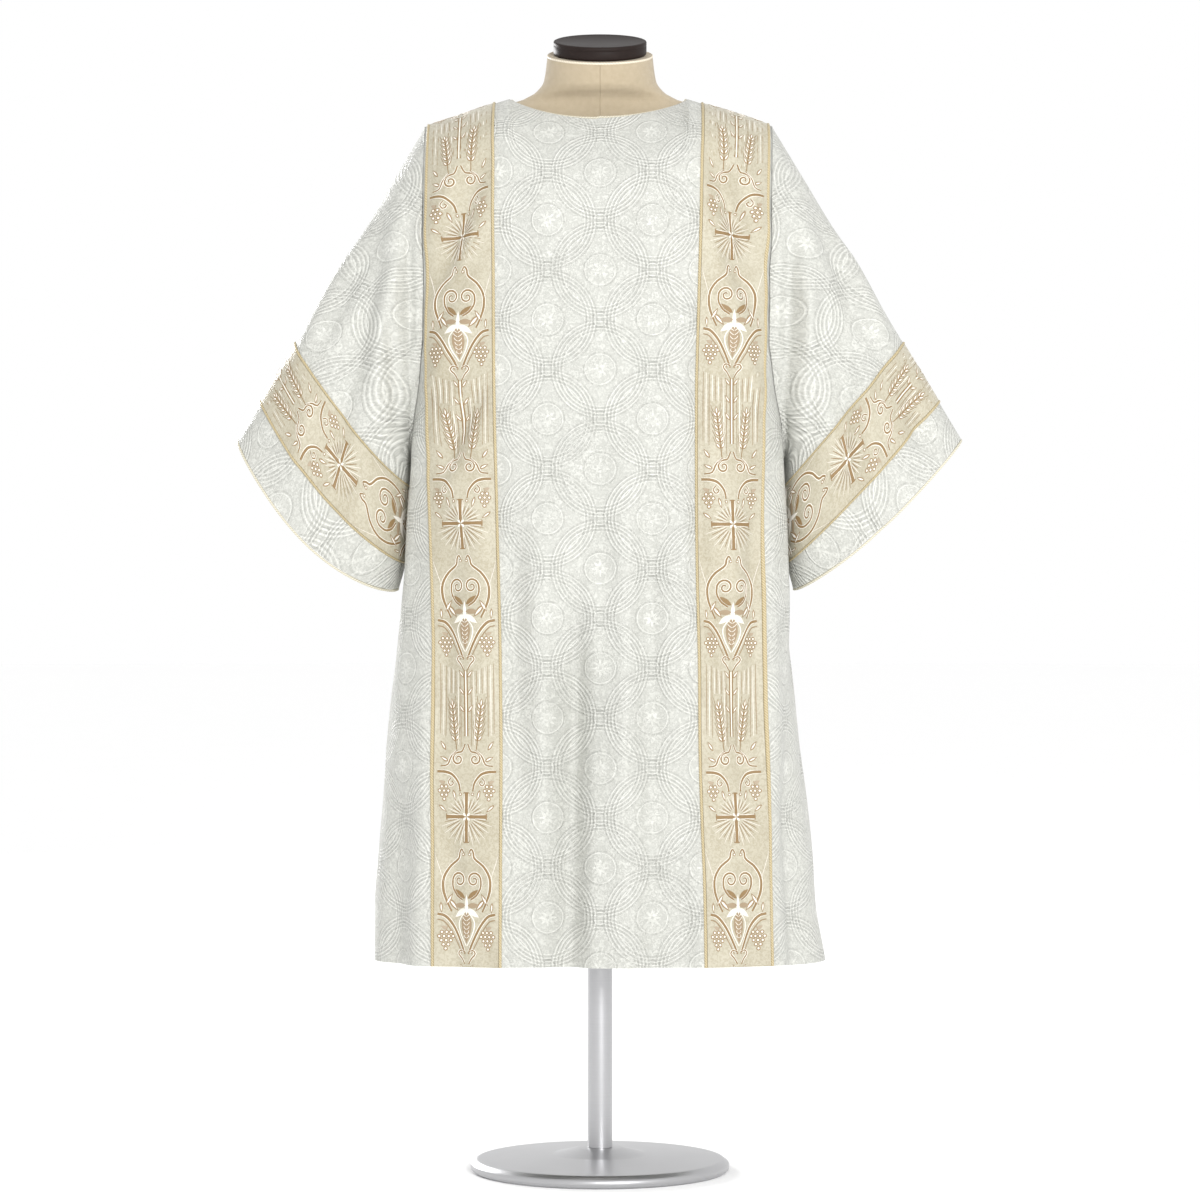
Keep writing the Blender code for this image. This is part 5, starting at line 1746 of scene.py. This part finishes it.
class DALMATIC_OT_cut(bpy.types.Operator):
    """Goes over the flat size of every cloth piece before it was sewn and hung, and the pieces on it, but
    records nothing.
    """

    bl_idname = "dalmatic.cut"
    bl_label = "State the Cut"

    def execute(self, context):
        for face, (flat, area) in PANEL_CUTS.items():
            on_it = [f"{kind}_{face}_{side}" for kind in ("woven_band", "band_figure") for side in SIDES]
            on_it += [f"piping_cord_{face}_{side}_{edge}" for side in SIDES for edge in ("inner", "outer")]
            on_it += ["neck_edge"] if face == "front" else []
        flat, area = SLEEVE_CUT
        for side in SIDES:
            on_it = [f"woven_band_sleeve_{side}", f"band_figure_sleeve_{side}", f"cuff_edge_{side}"]
            on_it += [f"piping_cord_sleeve_{side}_{edge}" for edge in ("upper", "lower")]
        return {"FINISHED"}


class DALMATIC_OT_stage(bpy.types.Operator):
    """Studio: a round pale floor under even pale surroundings, two soft lights, and the camera."""

    bl_idname = "dalmatic.stage"
    bl_label = "Studio"

    def execute(self, context):
        settings = context.scene.dalmatic_stage
        x, y = superellipse(FLOOR_AROUND, FLOOR_RADIUS, FLOOR_RADIUS, 2.0)
        floor = add_mesh("studio_floor", np.stack((x, y, 0 * x), axis=-1), [list(range(FLOOR_AROUND))])
        floor.data.materials.append(paper_material(settings))
        for name, place, power in (
            ("key_light", KEY_PLACE, settings.key),
            ("back_light", BACK_PLACE, settings.back),
        ):
            lamp = bpy.data.lights.new(name, "AREA")
            lamp.size = LIGHT_SIZE
            lamp.energy = power
            made = bpy.data.objects.new(name, lamp)
            made.location = place
            made.rotation_euler = (Vector(LIGHT_AIM) - Vector(place)).to_track_quat("-Z", "Y").to_euler()
            context.scene.collection.objects.link(made)
        world = bpy.data.worlds.new("pale_surroundings")
        world.use_nodes = True
        sky = world.node_tree.nodes["Background"].inputs
        sky["Color"].default_value = (1.0, 1.0, 1.0, 1.0)
        sky["Strength"].default_value = settings.world
        context.scene.world = world
        context.scene.view_settings.view_transform = "Standard"
        camera = bpy.data.cameras.new("front_camera")
        camera.lens = settings.lens
        camera.sensor_width = SENSOR_WIDTH
        made = bpy.data.objects.new("front_camera", camera)
        made.location = (0.0, -settings.distance, settings.height)
        made.rotation_euler = (math.pi / 2, 0.0, 0.0)
        context.scene.collection.objects.link(made)
        context.scene.camera = made
        return {"FINISHED"}


class DALMATIC_PT_sidebar(bpy.types.Panel):
    """The sidebar's list of steps."""

    bl_idname = "DALMATIC_PT_sidebar"
    bl_label = "Dalmatic"
    bl_space_type = "VIEW_3D"
    bl_region_type = "UI"
    bl_category = "Dalmatic"

    def draw(self, context):
        """Lists every step, then every group's settings."""
        for step in STEPS:
            self.layout.operator(step.bl_idname)
        for name in GROUPS:
            self.layout.label(text=name.replace("_", " ").title())
            group = getattr(context.scene, name)
            for entry in type(group).__annotations__:
                self.layout.prop(group, entry)


GROUPS = {
    "dalmatic_cloth": ClothSettings,
    "dalmatic_band": BandSettings,
    "dalmatic_trim": TrimSettings,
    "dalmatic_form": FormSettings,
    "dalmatic_stage": StageSettings,
}
STEPS = (
    DALMATIC_OT_panels,
    DALMATIC_OT_sleeves,
    DALMATIC_OT_vertical_bands,
    DALMATIC_OT_sleeve_bands,
    DALMATIC_OT_piping,
    DALMATIC_OT_edgings,
    DALMATIC_OT_dress_form,
    DALMATIC_OT_stand,
    DALMATIC_OT_cut,
    DALMATIC_OT_stage,
)
CLASSES = (*GROUPS.values(), *STEPS, DALMATIC_PT_sidebar)


def register():
    """Registers the classes and gives each scene its settings."""
    for cls in CLASSES:
        bpy.utils.register_class(cls)
    for name, group in GROUPS.items():
        setattr(bpy.types.Scene, name, PointerProperty(type=group))


def unregister():
    """Takes away what register added."""
    for name in GROUPS:
        delattr(bpy.types.Scene, name)
    for cls in reversed(CLASSES):
        bpy.utils.unregister_class(cls)


def main():
    """Builds every piece and the stage, in order."""
    register()
    bpy.ops.dalmatic.panels()
    bpy.ops.dalmatic.sleeves()
    bpy.ops.dalmatic.vertical_bands()
    bpy.ops.dalmatic.sleeve_bands()
    bpy.ops.dalmatic.piping()
    bpy.ops.dalmatic.edgings()
    bpy.ops.dalmatic.dress_form()
    bpy.ops.dalmatic.stand()
    bpy.ops.dalmatic.cut()
    bpy.ops.dalmatic.stage()


if __name__ == "__main__":
    main()
